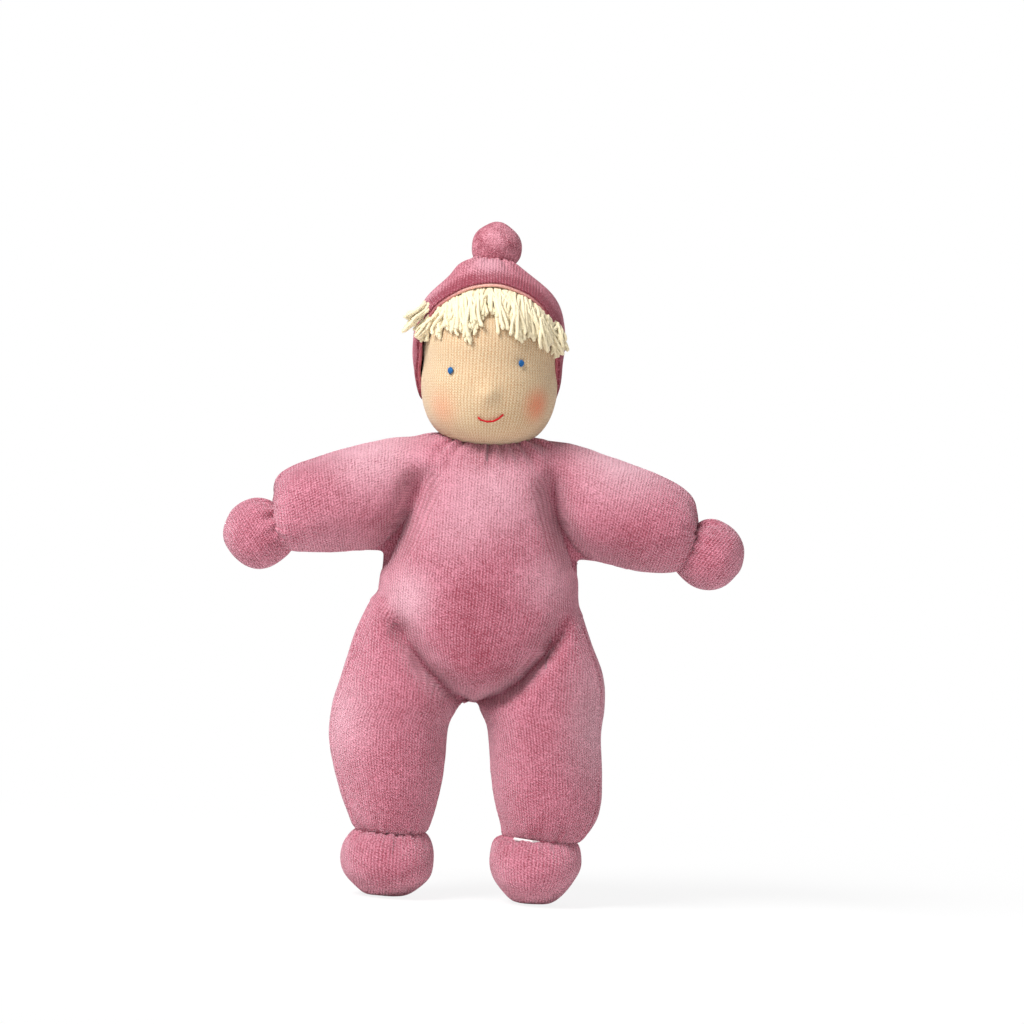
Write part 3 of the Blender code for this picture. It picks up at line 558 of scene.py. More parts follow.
def jersey(name, colour, shadow, blush=None):
    """Fine knitted jersey: columns of small V stitches, with a soft rouge on the cheeks."""
    recipe = Recipe(name, roughness=0.85, specular_ior_level=0.2, sheen_weight=0.36,
                    sheen_roughness=0.4, sheen_tint=(1.0, 0.95, 0.87, 1.0))
    across, along = recipe.cloth()
    drift = recipe.scaled(recipe.cloud(9, 1), 0.9, across)
    column = recipe.wave(drift, 1.57)
    slant = recipe.scaled(column, 0.75, along)
    stitch = recipe.wave(recipe.work("ADD", slant, recipe.cloud(2.5, 1)), 1.15)
    fibre = recipe.spread(recipe.cloud(0.6, 2, 0.6), 0.25, 0.75)
    columns = recipe.scaled(recipe.work("POWER", column, 0.6), 0.62, 0.38)
    knit = recipe.times(columns, recipe.spread(stitch, -0.6, 1.0))
    lit = recipe.scaled(fibre, 0.5, recipe.spread(knit, 0.1, 0.95, -0.15, 0.75))
    skin = recipe.tint(lit, shade(shadow), shade(colour))
    warm = recipe.spread(recipe.cloud(20, 2), 0.3, 0.7)
    skin = recipe.tint(recipe.times(warm, 0.2), skin, shade(colour, 0.86))
    if blush:
        rouge, spots = blush
        for spot, reach, amount in spots:
            speckle = recipe.times(recipe.near(spot, reach), recipe.spread(fibre, 0.1, 0.7, 0.6, 1.0))
            skin = recipe.tint(recipe.times(speckle, amount), skin, shade(rouge))
    height = recipe.scaled(fibre, 0.35, knit)
    return recipe.finish(skin, height, 0.22)


def strand_finish(name, colour, shadow, pitch=1.5, plies=1.0, fuzz=0.25, sheen=0.3):
    """Twisted yarn or thread: slanting plies along the strand, with loose fibres."""
    recipe = Recipe(name, roughness=0.8, specular_ior_level=0.2, sheen_weight=sheen,
                    sheen_roughness=0.4, sheen_tint=(1.0, 0.93, 0.78, 1.0))
    across, along = recipe.cloth()
    ply = recipe.wave(recipe.scaled(across, plies, along), pitch)
    fibre = recipe.cloud(0.35, 4, 0.75)
    lit = recipe.scaled(fibre, 0.5, recipe.times(ply, 0.6))
    patch = recipe.cloud(6, 2)
    colour_now = recipe.tint(recipe.spread(lit, 0.1, 0.8), shade(shadow), shade(colour))
    colour_now = recipe.tint(recipe.times(patch, fuzz), colour_now, shade(colour, 0.9))
    return recipe.finish(colour_now, lit, 0.15)


def backdrop(name):
    """A white sheet that keeps the object's soft shadow and looks white to the camera."""
    recipe = Recipe(name, roughness=1.0, specular_ior_level=0.0, base_color=(0.9, 0.9, 0.9, 1.0))
    path = recipe.add("ShaderNodeLightPath")
    glow = recipe.add("ShaderNodeEmission", [("Strength", 1.0)])
    seen = recipe.work("MAXIMUM", path.outputs["Is Camera Ray"], path.outputs["Is Glossy Ray"])
    length = recipe.add("ShaderNodeVectorMath", [(0, recipe.place())], operation="LENGTH")
    away = length.outputs["Value"]
    white = recipe.spread(away, 0.12, 0.5, 0.86, 1.0)
    mix = recipe.add("ShaderNodeMixShader", [(0, recipe.times(seen, white)),
                                             (1, recipe.shader.outputs[0]), (2, glow.outputs[0])])
    output = recipe.tree.nodes["Material Output"]
    recipe.plug(output.inputs["Surface"], mix.outputs[0])
    return recipe.material


# ---------------------------------------------------------------- settings


def swatch(name, description, default):
    """A colour that can be set in the panel."""
    return bpy.props.FloatVectorProperty(name=name, description=description, subtype="COLOR", size=3,
                                         default=default)


def distance(name, description, default, **limits):
    """A small length that can be set in the panel."""
    return bpy.props.FloatProperty(name=name, description=description, default=default,
                                   subtype="DISTANCE", unit="LENGTH", precision=5, **limits)


class SoftDollSuit(bpy.types.PropertyGroup):
    """The suit's settings"""

    grain: distance("Mesh grain", "Edge length of the suit's mesh", 0.0010, min=0.0006, max=0.003)
    rib_pitch: bpy.props.FloatProperty(
        name="Rib pitch", description="Spacing of the velour's ribs in millimetres", default=1.3)
    colour: swatch("Velour", "Colour of the brushed pile", (0.55, 0.085, 0.135))
    pale: swatch("Pale velour", "Colour where the pile lies the other way", (0.76, 0.285, 0.375))


class SoftDollBonnet(bpy.types.PropertyGroup):
    """The bonnet's settings"""

    cloth: distance("Cloth", "Thickness of the bonnet's doubled velour", 0.0024)
    colour: swatch("Velour", "Colour of the bonnet's pile", (0.53, 0.088, 0.135))
    pale: swatch("Pale velour", "Colour where the pile lies the other way", (0.78, 0.31, 0.38))
    hem: swatch("Hem", "Colour of the cloth's knitted back at the turned edge", (0.48, 0.12, 0.15))


class SoftDollFace(bpy.types.PropertyGroup):
    """The head's and the face's settings"""

    skin: swatch("Skin", "Colour of the head's jersey", (0.705, 0.567, 0.375))
    skin_shadow: swatch("Skin shadow", "Colour between the columns of stitches", (0.46, 0.24, 0.11))
    rouge: swatch("Rouge", "Colour of the cheeks", (0.72, 0.20, 0.10))
    iris: swatch("Eyes", "Colour of the eye stitches", (0.02, 0.15, 0.42))
    lips: swatch("Mouth", "Colour of the mouth stitch", (0.58, 0.015, 0.02))


class SoftDollFringe(bpy.types.PropertyGroup):
    """The fringe's settings"""

    fullness: bpy.props.FloatProperty(
        name="Fullness", description="How many strands each tuft has, against the usual number",
        default=1.9, min=0.3, max=2.0)
    thickness: distance("Yarn", "Thickness of one strand", 0.0015)
    colour: swatch("Yarn colour", "Colour of the yarn", (0.885, 0.77, 0.525))


class SoftDollStage(bpy.types.PropertyGroup):
    """The camera's and the lights' settings"""

    lean: bpy.props.FloatProperty(
        name="Lean", description="How far the camera is rolled", default=math.radians(3.25),
        subtype="ANGLE", unit="ROTATION")
    lens: bpy.props.FloatProperty(
        name="Lens", description="Focal length of the camera in millimetres", default=135.0)
    width: bpy.props.FloatProperty(
        name="Width of view", description="Width that the camera sees at the doll", default=0.4531,
        subtype="DISTANCE", unit="LENGTH")
    aim: bpy.props.FloatVectorProperty(
        name="Aim", description="Point at the middle of the picture", subtype="TRANSLATION",
        size=3, unit="LENGTH", default=(0.01325, 0.0, 0.1721))
    main_light: bpy.props.FloatProperty(
        name="Main light", description="Power in watts", default=30.8)
    fill_light: bpy.props.FloatProperty(
        name="Fill light", description="Power in watts of the lights beside and behind", default=3.5)
    sky: bpy.props.FloatProperty(
        name="Room light", description="Strength of the even light", default=0.325)


def settings(name):
    """The scene's settings for one group of pieces."""
    return getattr(bpy.context.scene, name)


# ---------------------------------------------------------------- the suit

# Where each left limb is cut off the trunk, which way it leads, and how far its bend reaches along it.
ARM_CUT = (Vector((36.4, 0, 177)), Vector((0.972, 0, 0.234)).normalized(), 31)
LEG_CUT = (Vector((0, 0, 88)), Vector((0.66, 0, -0.75)).normalized(), 36)
WAIST = 146  # the sleeves lie above this height and the legs below it
SLEEVE_MIDDLE = 175  # height of the line that a sleeve's ribs run round
SLEEVE_ROUND = 20  # radius that the ribs of a sleeve are spaced on
CREASES = (  # line in the front view, side, depth, width, fade at both ends
    (((-41, 125), (-34.5, 120.5), (-27, 110), (-21, 102), (-9, 91), (0, 87)),
     -1, 7.5, 5.6, (0.25, 0.08)),
    (((-33, 118.5), (-27, 110), (-21, 102), (-9, 91), (0, 87)), -1, 5.6, 1.8, (0.5, 0.04)),
    (((0, 87), (13.4, 91.9), (22.3, 99), (31.9, 110.7), (37, 122.1), (42, 134)),
     -1, 6.6, 4.2, (0.12, 0.3)),
    (((0, 87), (13.4, 91.9), (22.3, 99), (31.9, 110.7), (37, 122.1)), -1, 6.0, 1.7, (0.04, 0.4)),
    (((-23, 194), (-26, 184), (-32, 168), (-41, 150)), -1, 10.0, 6.4, (0.3, 0.0)),
    (((-30, 174), (-36, 160), (-41.5, 149)), -1, 4.6, 2.2, (0.4, 0.0)),
    (((28.2, 194), (30.5, 180), (33.6, 169), (42.7, 152)), -1, 9.4, 5.6, (0.3, 0.0)),
    (((30, 182), (34, 168), (42.7, 152)), -1, 4.4, 2.0, (0.4, 0.0)),
    (((-38, 126), (-26, 114), (-12, 98), (0, 87)), 1, 4.6, 4.8, (0.3, 0.16)),
    (((0, 87), (12, 98), (26, 114), (38, 126)), 1, 4.6, 4.8, (0.16, 0.3)),
    (((-27, 192), (-31, 176), (-41, 150)), 1, 5.0, 6.5, (0.35, 0.0)),
    (((27, 192), (31, 176), (42, 151)), 1, 5.0, 6.5, (0.35, 0.0)),
)
PAINTED_SUIT_LIGHT = (  # painted light on the suit: middle of a spot, its reach, and its strength, above 0 a painted sheen highlight on lit tops and edges, below 0 painted shade in creases and hollows
    ((-50, -12, 197), 34, 0.75), ((58, -10, 198), 34, 0.75), ((4, -26, 182), 38, 0.55),
    ((-30, -22, 132), 20, 0.7), ((-58, -14, 78), 30, 0.4), ((54, -16, 94), 26, 0.35),
    ((32, -26, 142), 22, 0.35), ((-14, -28, 160), 24, 0.25), ((2, -30, 130), 26, -0.16),
    ((2, -28, 106), 24, -0.22), ((-36, -14, 158), 18, -0.45), ((35, -14, 162), 17, -0.42),
    ((-29, -18, 180), 13, -0.35), ((29, -18, 181), 12, -0.3), ((-62, -16, 162), 24, 0.1),
    ((66, -14, 160), 24, -0.12), ((-32, -18, 118), 12, -0.22), ((-12, -20, 95), 14, -0.24),
    ((18, -20, 97), 14, -0.24), ((34, -20, 114), 10, -0.2), ((0, -22, 198), 15, -0.25),
    ((50, -8, 72), 28, 0.5), ((-30, -16, 14), 18, 0.2), ((29, -18, 16), 20, 0.15),
)
# Painted sheen highlights on the bonnet's crown, its side and the ball, where the light falls: middle,
# reach and strength.
BONNET_PAINTED_SHEEN = (((-3, -14, 281), 15, 0.5), ((1, -8, 292), 14, 0.3), ((-27, -10, 264), 13, 0.35))
BALL_PAINTED_SHEEN = (((1, -8, 292), 14, 0.2),)


def row_at(rows, along):
    """The low, high, front and back edges of a form at a place along it."""
    table = np.array(rows, float)
    order = np.argsort(table[:, 0])
    table = table[order]
    return [np.interp(along, table[:, 0], table[:, column]) for column in range(1, 5)]


def round_the_form(across, depth, rows, along):
    """How far round a form each point lies from its front middle, and half of the way round, in mm."""
    low, high, front, back = row_at(rows, along)
    half, deep = (high - low) / 2, (back - front) / 2
    angle = np.arctan2((across - (low + high) / 2) / half, -(depth - (front + back) / 2) / deep)
    steps = np.linspace(0, math.pi, 49)
    wide, thick = np.median(half), np.median(deep)
    arc = np.hypot(wide * np.cos(steps), thick * np.sin(steps))
    run = np.concatenate(([0], np.cumsum((arc[1:] + arc[:-1]) / 2 * np.diff(steps))))
    return np.sign(angle) * np.interp(np.abs(angle), steps, run), run[-1]


def remember_places(piece):
    """Keeps the smooth form's places, so that the ribs follow the cloth and not its creases."""
    kept = piece.data.attributes.new("smooth_form", "FLOAT_VECTOR", "POINT")
    kept.data.foreach_set("vector", points(piece).ravel())


def cloth_places(piece):
    """The kept smooth form in millimetres, or the piece as it is."""
    kept = piece.data.attributes.get("smooth_form")
    if kept is None:
        return points(piece) / MM
    return read(kept.data, "vector", 3) / MM


def facing_corners(piece):
    """Which corners are of faces that look mostly sideways, and which of faces that look up or down."""
    facing = np.abs(read(piece.data.polygons, "normal", 3))
    sizes = read(piece.data.polygons, "loop_total", kind=np.int32)
    wide, deep, high = np.repeat(facing, sizes, axis=0).T
    return (wide > deep) & (wide > high), (high > wide) & (high > deep)


def map_upright(piece, rows, flat_above=400):
    """Ribs that run up the piece: round it below a height and straight above it, with flat ends."""
    places = cloth_places(piece)
    round_it, half_way = round_the_form(places[:, 0], places[:, 1], rows, places[:, 2])
    corners = corner_vertices(piece)
    sideways, level = facing_corners(piece)
    low, high, _, _ = row_at(rows, np.minimum(places[:, 2], flat_above))
    offset = (places[:, 0] - (low + high) / 2)[corners]
    round_it = round_it[corners]
    _, depth, height = places[corners].T
    hand = np.sign(round_it)
    front_or_back = np.where(depth < 0, offset, hand * half_way - offset)
    straight = np.where(sideways, hand * (half_way / 2 + depth), front_or_back)
    flat = soft_step(height, flat_above - 10, flat_above + 6)
    ribs = np.where(level, offset, round_it * (1 - flat) + straight * flat)
    set_cloth_map(piece, np.where(level, depth, height), ribs, turn=2 * half_way)


def map_sleeve(piece):
    """Ribs that run round the arm, as the suit is cut in one with its sleeves."""
    across, depth, height = cloth_places(piece).T
    across, height = np.abs(across), height - SLEEVE_MIDDLE
    slope = 0.2 * soft_step(across, 34, 70)
    along = SLEEVE_ROUND * np.arctan2(height, -depth)
    set_cloth_map(piece, along, across - slope * height, turn=SLEEVE_ROUND * math.tau, axis=1)


def hollow_for_head(piece):
    """Sinks the neckline under the head, with room for the head to nod."""
    places = points(piece) / MM
    table = np.array([((high - low) / 2, along) for along, low, high, _, _ in HEAD_ROWS[:5]])
    reach = np.hypot(places[:, 0], places[:, 1])
    under = np.interp(reach, table[:, 0], table[:, 1])
    limit = under + 0.7 - 0.06 * np.abs(places[:, 1])
    near = (reach < table[-1, 0]) & (places[:, 2] > 185)
    places[:, 2] = np.where(near, np.minimum(places[:, 2], limit), places[:, 2])
    set_points(piece, places * MM)


def pleat_neckline(piece):
    """Uneven pleats that run down from the gathered neckline."""
    places, ways = points(piece), normals(piece)
    angle = np.arctan2(places[:, 0], -places[:, 1])
    reach = np.hypot(places[:, 0], places[:, 1]) / MM
    wave = np.cos(23 * angle) + 0.8 * np.cos(17 * angle + 1.3) + 0.6 * np.cos(31 * angle + 0.4)
    height = places[:, 2] / MM
    fall = soft_step(height, 188, 200) * (1 - soft_step(reach, 26, 34))
    set_points(piece, places + ways * (np.clip(wave, -1.3, 1.6) * fall * 0.75 * MM)[:, None])


def press_side_seam(piece):
    """A narrow valley where the front and back panels meet, with a slight ridge before it."""
    places, ways = points(piece), normals(piece)
    across, depth, height = places[:, 0] / MM, places[:, 1] / MM, places[:, 2] / MM
    seam_at = np.where(np.abs(across) > 47, -7.5, -1.0)
    seam_at = np.where(height > 150, 0.0, seam_at)
    gap = depth - seam_at - 0.8 * np.sin(height / 9)
    sideways = 1 - soft_step(np.abs(ways[:, 1]), 0.55, 0.8)
    valley = 1.2 * bell(gap, 1.0) - 0.5 * bell(gap + 2.4, 1.3)
    calm = 1 - soft_step(height, 196, 202)
    set_points(piece, places - ways * (valley * sideways * calm * MM)[:, None])


def split_off(piece, name, chosen):
    """Separates the chosen faces as a piece of their own."""
    pick(piece)
    before = set(bpy.data.objects)
    bpy.ops.object.mode_set(mode="EDIT")
    bpy.ops.mesh.select_mode(type="FACE")
    bpy.ops.object.mode_set(mode="OBJECT")
    piece.data.polygons.foreach_set("select", chosen)
    bpy.ops.object.mode_set(mode="EDIT")
    bpy.ops.mesh.separate(type="SELECTED")
    bpy.ops.object.mode_set(mode="OBJECT")
    part = (set(bpy.data.objects) - before).pop()
    part.name = part.data.name = name
    return part


def open_loops(piece, edges):
    """The given edges, sorted into separate loops."""
    ends = read(piece.data.edges, "vertices", 2, np.int32)
    beside = {}
    for edge in edges:
        for vertex in ends[edge]:
            beside.setdefault(int(vertex), []).append(int(edge))
    left, loops = set(int(edge) for edge in edges), []
    while left:
        loop, ahead = [], [left.pop()]
        while ahead:
            edge = ahead.pop()
            loop.append(edge)
            for vertex in ends[edge]:
                fresh = [other for other in beside[int(vertex)] if other in left]
                left.difference_update(fresh)
                ahead.extend(fresh)
        loops.append(loop)
    return loops


def close_openings(piece):
    """Closes each open edge with a fan to its middle, kept apart from the shading by a sharp edge."""
    pick(piece)
    bpy.ops.object.mode_set(mode="EDIT")
    bpy.ops.mesh.select_mode(type="EDGE")
    bpy.ops.mesh.select_all(action="DESELECT")
    bpy.ops.mesh.select_non_manifold(extend=False, use_wire=False, use_boundary=True,
                                     use_multi_face=False, use_non_contiguous=False, use_verts=False)
    bpy.ops.mesh.mark_sharp()
    bpy.ops.object.mode_set(mode="OBJECT")
    for loop in open_loops(piece, np.flatnonzero(read(piece.data.edges, "select", kind=bool))):
        chosen = np.zeros(len(piece.data.edges), dtype=bool)
        chosen[loop] = True
        piece.data.edges.foreach_set("select", chosen)
        bpy.ops.object.mode_set(mode="EDIT")
        bpy.ops.mesh.extrude_edges_move()
        bpy.ops.mesh.merge(type="CENTER")
        bpy.ops.object.mode_set(mode="OBJECT")
    face_out(piece)


def face_middles(piece):
    """The middle of each face, in millimetres."""
    return read(piece.data.polygons, "center", 3) / MM


class SOFTDOLL_OT_suit(bpy.types.Operator):
    """Makes the stuffed suit: trunk, sleeves and legs in one skin, then cut at the joints"""

    bl_idname = "softdoll.suit"
    bl_label = "Suit"

    def execute(self, context):
        size = settings("soft_doll_suit")
        forms = [stuffed_form("trunk", TRUNK_ROWS)]
        for _, side in SIDES:
            forms.append(stuffed_form("sleeve", ARM_ROWS[side], sideways=True))
            forms.append(stuffed_form("leg", LEG_ROWS[side]))
        suit = join("suit", forms)
        finish_modifier(suit, "REMESH", mode="VOXEL", voxel_size=size.grain)
        finish_modifier(suit, "SMOOTH", factor=0.6, iterations=22)
        remember_places(suit)
        for path, side, depth, width, fade in CREASES:
            press_line(suit, path, side, depth, width, fade)
        finish_modifier(suit, "SMOOTH", factor=0.5, iterations=3)
        plump(suit, scale=19, height=0.55, seed=1)
        plump(suit, scale=7, height=0.16, seed=2)
        press_side_seam(suit)
        hollow_for_head(suit)
        pleat_neckline(suit)
        for _, side in SIDES:
            end = (ARM_ROWS[side][-1][0], 0, 166)
            gather(suit, end, (-side, 0, 0.1), reach=7, folds=15, depth=0.5, seed=3 + side)
            height, low, high = LEG_ROWS[side][0][:3]
            end = ((low + high) / 2, 0, height)
            gather(suit, end, (0, 0, 1), reach=6, folds=19, depth=0.45, seed=6 + side)
        finish_modifier(suit, "SMOOTH", factor=0.4, iterations=1)
        cloth = velour("rose velour", size.colour, size.pale, size.rib_pitch, PAINTED_SUIT_LIGHT)
        for name, side in SIDES:
            for kind, panel, (cut, way, reach) in (("arm", "sleeve", ARM_CUT), ("leg", "leg", LEG_CUT)):
                mirror = Vector((side, 1, 1))
                begin, end = cut * mirror, (cut + way * reach) * mirror
                middles = face_middles(suit)
                beyond = (middles - np.array(begin)) @ np.array(way * mirror) > 0
                if kind == "arm":
                    limb = split_off(suit, panel + name, beyond & (middles[:, 2] > WAIST))
                    map_sleeve(limb)
                else:
                    own_side = side * middles[:, 0] > 0
                    limb = split_off(suit, panel + name, beyond & (middles[:, 2] < WAIST) & own_side)
                    map_upright(limb, LEG_ROWS[side], flat_above=84)
                close_openings(limb)
                smooth(limb)
                nodes = panel + "_front" + name, panel + "_back" + name, kind + "_stuffing" + name
                dress(limb, cloth, "torso", "rose_velour", *nodes, bend=(kind + name, begin, end),
                      fill=0.8)
        suit.name = suit.data.name = "trunk"
        map_upright(suit, TRUNK_ROWS, flat_above=152)
        close_openings(suit)
        smooth(suit)
        nodes = "torso_front", "torso_back", "torso_stuffing"
        dress(suit, cloth, "torso", "rose_velour", *nodes, fill=0.8)
        return {"FINISHED"}


# ---------------------------------------------------------------- hands and feet

# Middle of each wrist, and how many degrees the hand droops below the level.
WRISTS = {-1: (Vector((-90.5, 0, 162.2)), 36), 1: (Vector((93.8, 0, 163.7)), 37)}
HAND_ROUND = 15  # radius that the ribs of a hand are spaced on
ANKLE_TIE = 28.4  # height of the thread round the ankle
ANKLE_BEND = (29, 20)  # heights between which the foot bends
WRIST_BEND = 9  # how far the hand's bend reaches from the wrist


def stuffed_hand(name, side):
    """A hand with gathers at the wrist, and the way that it points."""
    wrist, droop = WRISTS[side]
    hand = stuffed_form("hand" + name, HAND_ROWS, levels=3)
    plump(hand, scale=9, height=0.5, seed=11 + side)
    gather(hand, (0, 0, -1), (0, 0, 1), reach=5.5, folds=9, depth=0.9, seed=12 + side)
    across, depth, reach = (points(hand) / MM)[corner_vertices(hand)].T
    _, end = facing_corners(hand)
    round_it = np.where(end, across, HAND_ROUND * np.arctan2(depth, across))
    set_cloth_map(hand, round_it, np.where(end, depth, reach), turn=HAND_ROUND * math.tau, axis=1)
    way = Vector((side * math.cos(math.radians(droop)), 0, -math.sin(math.radians(droop))))
    turn = Vector((0, 0, 1)).rotation_difference(way).to_matrix().to_4x4()
    stand_at(hand, Matrix.Translation(wrist * MM) @ turn)
    return hand, way


def stuffed_foot(name, side, middle):
    """A foot with gathers at the ankle and a flat sole."""
    foot = stuffed_form("foot" + name, FOOT_ROWS[side], levels=3)
    plump(foot, scale=10, height=0.45, seed=15 + side)
    gather(foot, (middle, 0, 28), (0, 0, 1), reach=4.5, folds=17, depth=0.45, seed=16 + side)
    if side < 0:
        press_line(foot, ((-29.6, 29), (-29.2, 24), (-30, 18)), -1, 1.6, 1.0, (0.0, 0.6))
    places = points(foot)
    places[:, 2] = np.maximum(places[:, 2], 0)
    set_points(foot, places)
    map_upright(foot, FOOT_ROWS[side])
    return foot


def loose_end(middle, wide):
    """The way of the thread end that lies loose on the front of an ankle."""
    path = []
    for step in range(9):
        turn = math.radians(230 + 5.2 * step)
        height = ANKLE_TIE + 0.3 - 0.1 * step
        path.append((middle + wide * math.cos(turn), 14.5 * math.sin(turn), height))
    return path


class SOFTDOLL_OT_ends(bpy.types.Operator):
    """Makes the tied-off hands and feet, and the threads that tie them"""

    bl_idname = "softdoll.ends"
    bl_label = "Hands and feet"

    def execute(self, context):
        size = settings("soft_doll_suit")
        cloth = velour("rose velour of the ends", size.colour, size.pale, size.rib_pitch)
        tying = strand_finish("rose thread of the ends", (0.58, 0.20, 0.27), (0.40, 0.08, 0.13), 0.9)
        white = strand_finish("white thread end", (0.88, 0.86, 0.85), (0.7, 0.62, 0.62), 0.7, plies=2.0)
        for name, side in SIDES:
            wrist = WRISTS[side][0]
            middle = sum(FOOT_ROWS[side][-1][1:3]) / 2
            hand, way = stuffed_hand(name, side)
            foot = stuffed_foot(name, side, middle)
            ankle = [Vector((middle, 0, height)) for height in ANKLE_BEND]
            for part, near, far, bend in (
                (hand, "arm", "hand", (wrist, wrist + way * WRIST_BEND)),
                (foot, "leg", "foot", ankle),
            ):
                smooth(part)
                dress(part, cloth, near + name, "rose_velour", far + "_cover" + name,
                      far + "_stuffing" + name, bend=(far + name, *bend), fill=0.9)
            low, high = LEG_ROWS[side][0][1:3]
            wide = (high - low) / 2 + 0.6
            ring = ring_path(Vector((middle, 0, ANKLE_TIE)), Vector((wide, 0, 0)), Vector((0, 13.4, 0)))
            dress(thread("ankle_thread" + name, ring, 0.7, closed=True), tying, "leg" + name,
                  "tying_thread", "ankle_tie" + name)
            if side > 0:
                loose = thread("loose_thread_end", loose_end(middle, wide + 0.6), 0.75)
                dress(loose, white, "leg" + name, "tying_thread")
            lift = way.cross(Vector((0, 1, 0)))
            ring = ring_path(wrist - way * 0.8, lift * 9.6, Vector((0, 9.0, 0)))
            dress(thread("wrist_thread" + name, ring, 0.45, closed=True), tying, "arm" + name,
                  "tying_thread", "wrist_tie" + name)
        return {"FINISHED"}


# ---------------------------------------------------------------- head and face

NOSE = (0.1, 222.5)
NOSE_BUMP = (2.5, 4.2)  # how far it stands out, and its reach
EYE_LINE = (236, 0.9, 6)  # height, depth and reach of the hollow across the face
HEAD_ROUND = 30.5  # radius that the columns of stitches are spaced on
NECK_ROWS = ((188, -8, 8, -8, 8), (194, -9, 9, -9, 9), (199, -8.2, 8.2, -8.2, 8.2))
NECK_RIBS = ((188, -10, 10, -10, 10), (199, -9, 9, -9, 9))  # the round its stitches run on
EYES = {"eye_right": (-17.1, 232.2), "eye_left": (13.7, 237.0)}
MOUTH = ((-3.6, 212.2), (-2.6, 211.3), (0.2, 210.7), (2.8, 211.0), (5.0, 212.2), (6.9, 214.0))
CHEEKS = (((-22.5, -23, 214.5), 14, 0.5), ((23.5, -22, 218.8), 12, 0.95))


def face_point(across, height, lift=0.0):
    """A point on the front of the head, in millimetres, lifted off it a little."""
    low, high, front, _ = row_at(HEAD_ROWS, height)
    share = min(1.0, abs(across - (low + high) / 2) / ((high - low) / 2))
    depth = front * math.sqrt(max(0.0, 1 - share * share))
    depth -= NOSE_BUMP[0] * bell(math.hypot(across - NOSE[0], height - NOSE[1]), NOSE_BUMP[1])
    depth += EYE_LINE[1] * bell(height - EYE_LINE[0], EYE_LINE[2])
    return Vector((across, depth - lift, height))


def stitch(name, spots, radius, sink=0.2):
    """One stitch of thread that dips into the head at both ends."""
    path = [face_point(*spot, lift=radius * 0.75) for spot in spots]
    path.insert(0, path[0] + Vector((0, radius + sink + 0.6, 0)))
    path.append(path[-1] + Vector((0, radius + sink + 0.6, 0)))
    piece = thread(name, path, radius, sides=10)
    places = points(piece) / MM
    set_cloth_map(piece, places[:, 2], places[:, 0])
    return piece


class SOFTDOLL_OT_head(bpy.types.Operator):
    """Makes the jersey head with its nose, eye line and cheeks, and the neck under it"""

    bl_idname = "softdoll.head"
    bl_label = "Head"

    def execute(self, context):
        look = settings("soft_doll_face")
        head = stuffed_form("head", HEAD_ROWS, sides=40, levels=2)
        subdivide(head, 1)
        places, ways = points(head) / MM, normals(head)
        facing = soft_step(-ways[:, 1], 0.1, 0.6)
        across, _, height = places.T
        bump = NOSE_BUMP[0] * bell(np.hypot(across - NOSE[0], height - NOSE[1]), NOSE_BUMP[1]) * facing
        dent = EYE_LINE[1] * bell(height - EYE_LINE[0], EYE_LINE[2])
        for eye in EYES.values():
            dent += 0.55 * bell(np.hypot(across - eye[0], height - eye[1]), 2.6) * facing
        dent += 0.35 * bell(across - 1, 9) * bell(height - 211.5, 3) * facing  # the mouth's hollow
        set_points(head, (places + ways * (bump - dent)[:, None]) * MM)
        across, depth, height = (points(head) / MM).T
        round_it = HEAD_ROUND * np.arctan2(across, -depth)
        set_cloth_map(head, height, round_it, turn=HEAD_ROUND * math.tau)
        smooth(head)
        knit = jersey("peach jersey", look.skin, look.skin_shadow, (look.rouge, CHEEKS))
        nodes = "head_skin", "head_core", "nose_wool", "eye_line_thread"
        dress(head, knit, "head", "peach_tricot", *nodes, fill=1.0)
        neck = stuffed_form("neck", NECK_ROWS, levels=1)
        map_upright(neck, NECK_RIBS)
        smooth(neck)
        dress(neck, knit, "neck", "wool_stuffing", "neck_stump", "neck_tie")
        return {"FINISHED"}


class SOFTDOLL_OT_face(bpy.types.Operator):
    """Stitches the eyes and the mouth"""

    bl_idname = "softdoll.face"
    bl_label = "Eyes and mouth"

    def execute(self, context):
        look = settings("soft_doll_face")
        blue = strand_finish("blue eye thread", look.iris, shade(look.iris, 0.45), 0.8, fuzz=0.0,
                             sheen=0.1)
        for name, (across, height) in EYES.items():
            lines = []
            for shift, half in ((-0.75, 0.7), (-0.25, 1.2), (0.3, 1.15), (0.8, 0.6)):
                spots = [(across + shift * 0.95, height + half), (across + shift * 1.05, height),
                         (across + shift * 0.9, height - half)]
                lines.append(stitch(name, spots, 0.36))
            dress(join(name + "_stitches", lines), blue, "head", "blue_thread", name)
        red = strand_finish("red mouth thread", look.lips, shade(look.lips, 0.5), 0.9, fuzz=0.0,
                            sheen=0.1)
        mouth = join("mouth", [stitch("mouth", MOUTH, 0.45)])
        dress(mouth, red, "head", "red_thread", "mouth_stitch")
        return {"FINISHED"}


# ---------------------------------------------------------------- yarn fringe

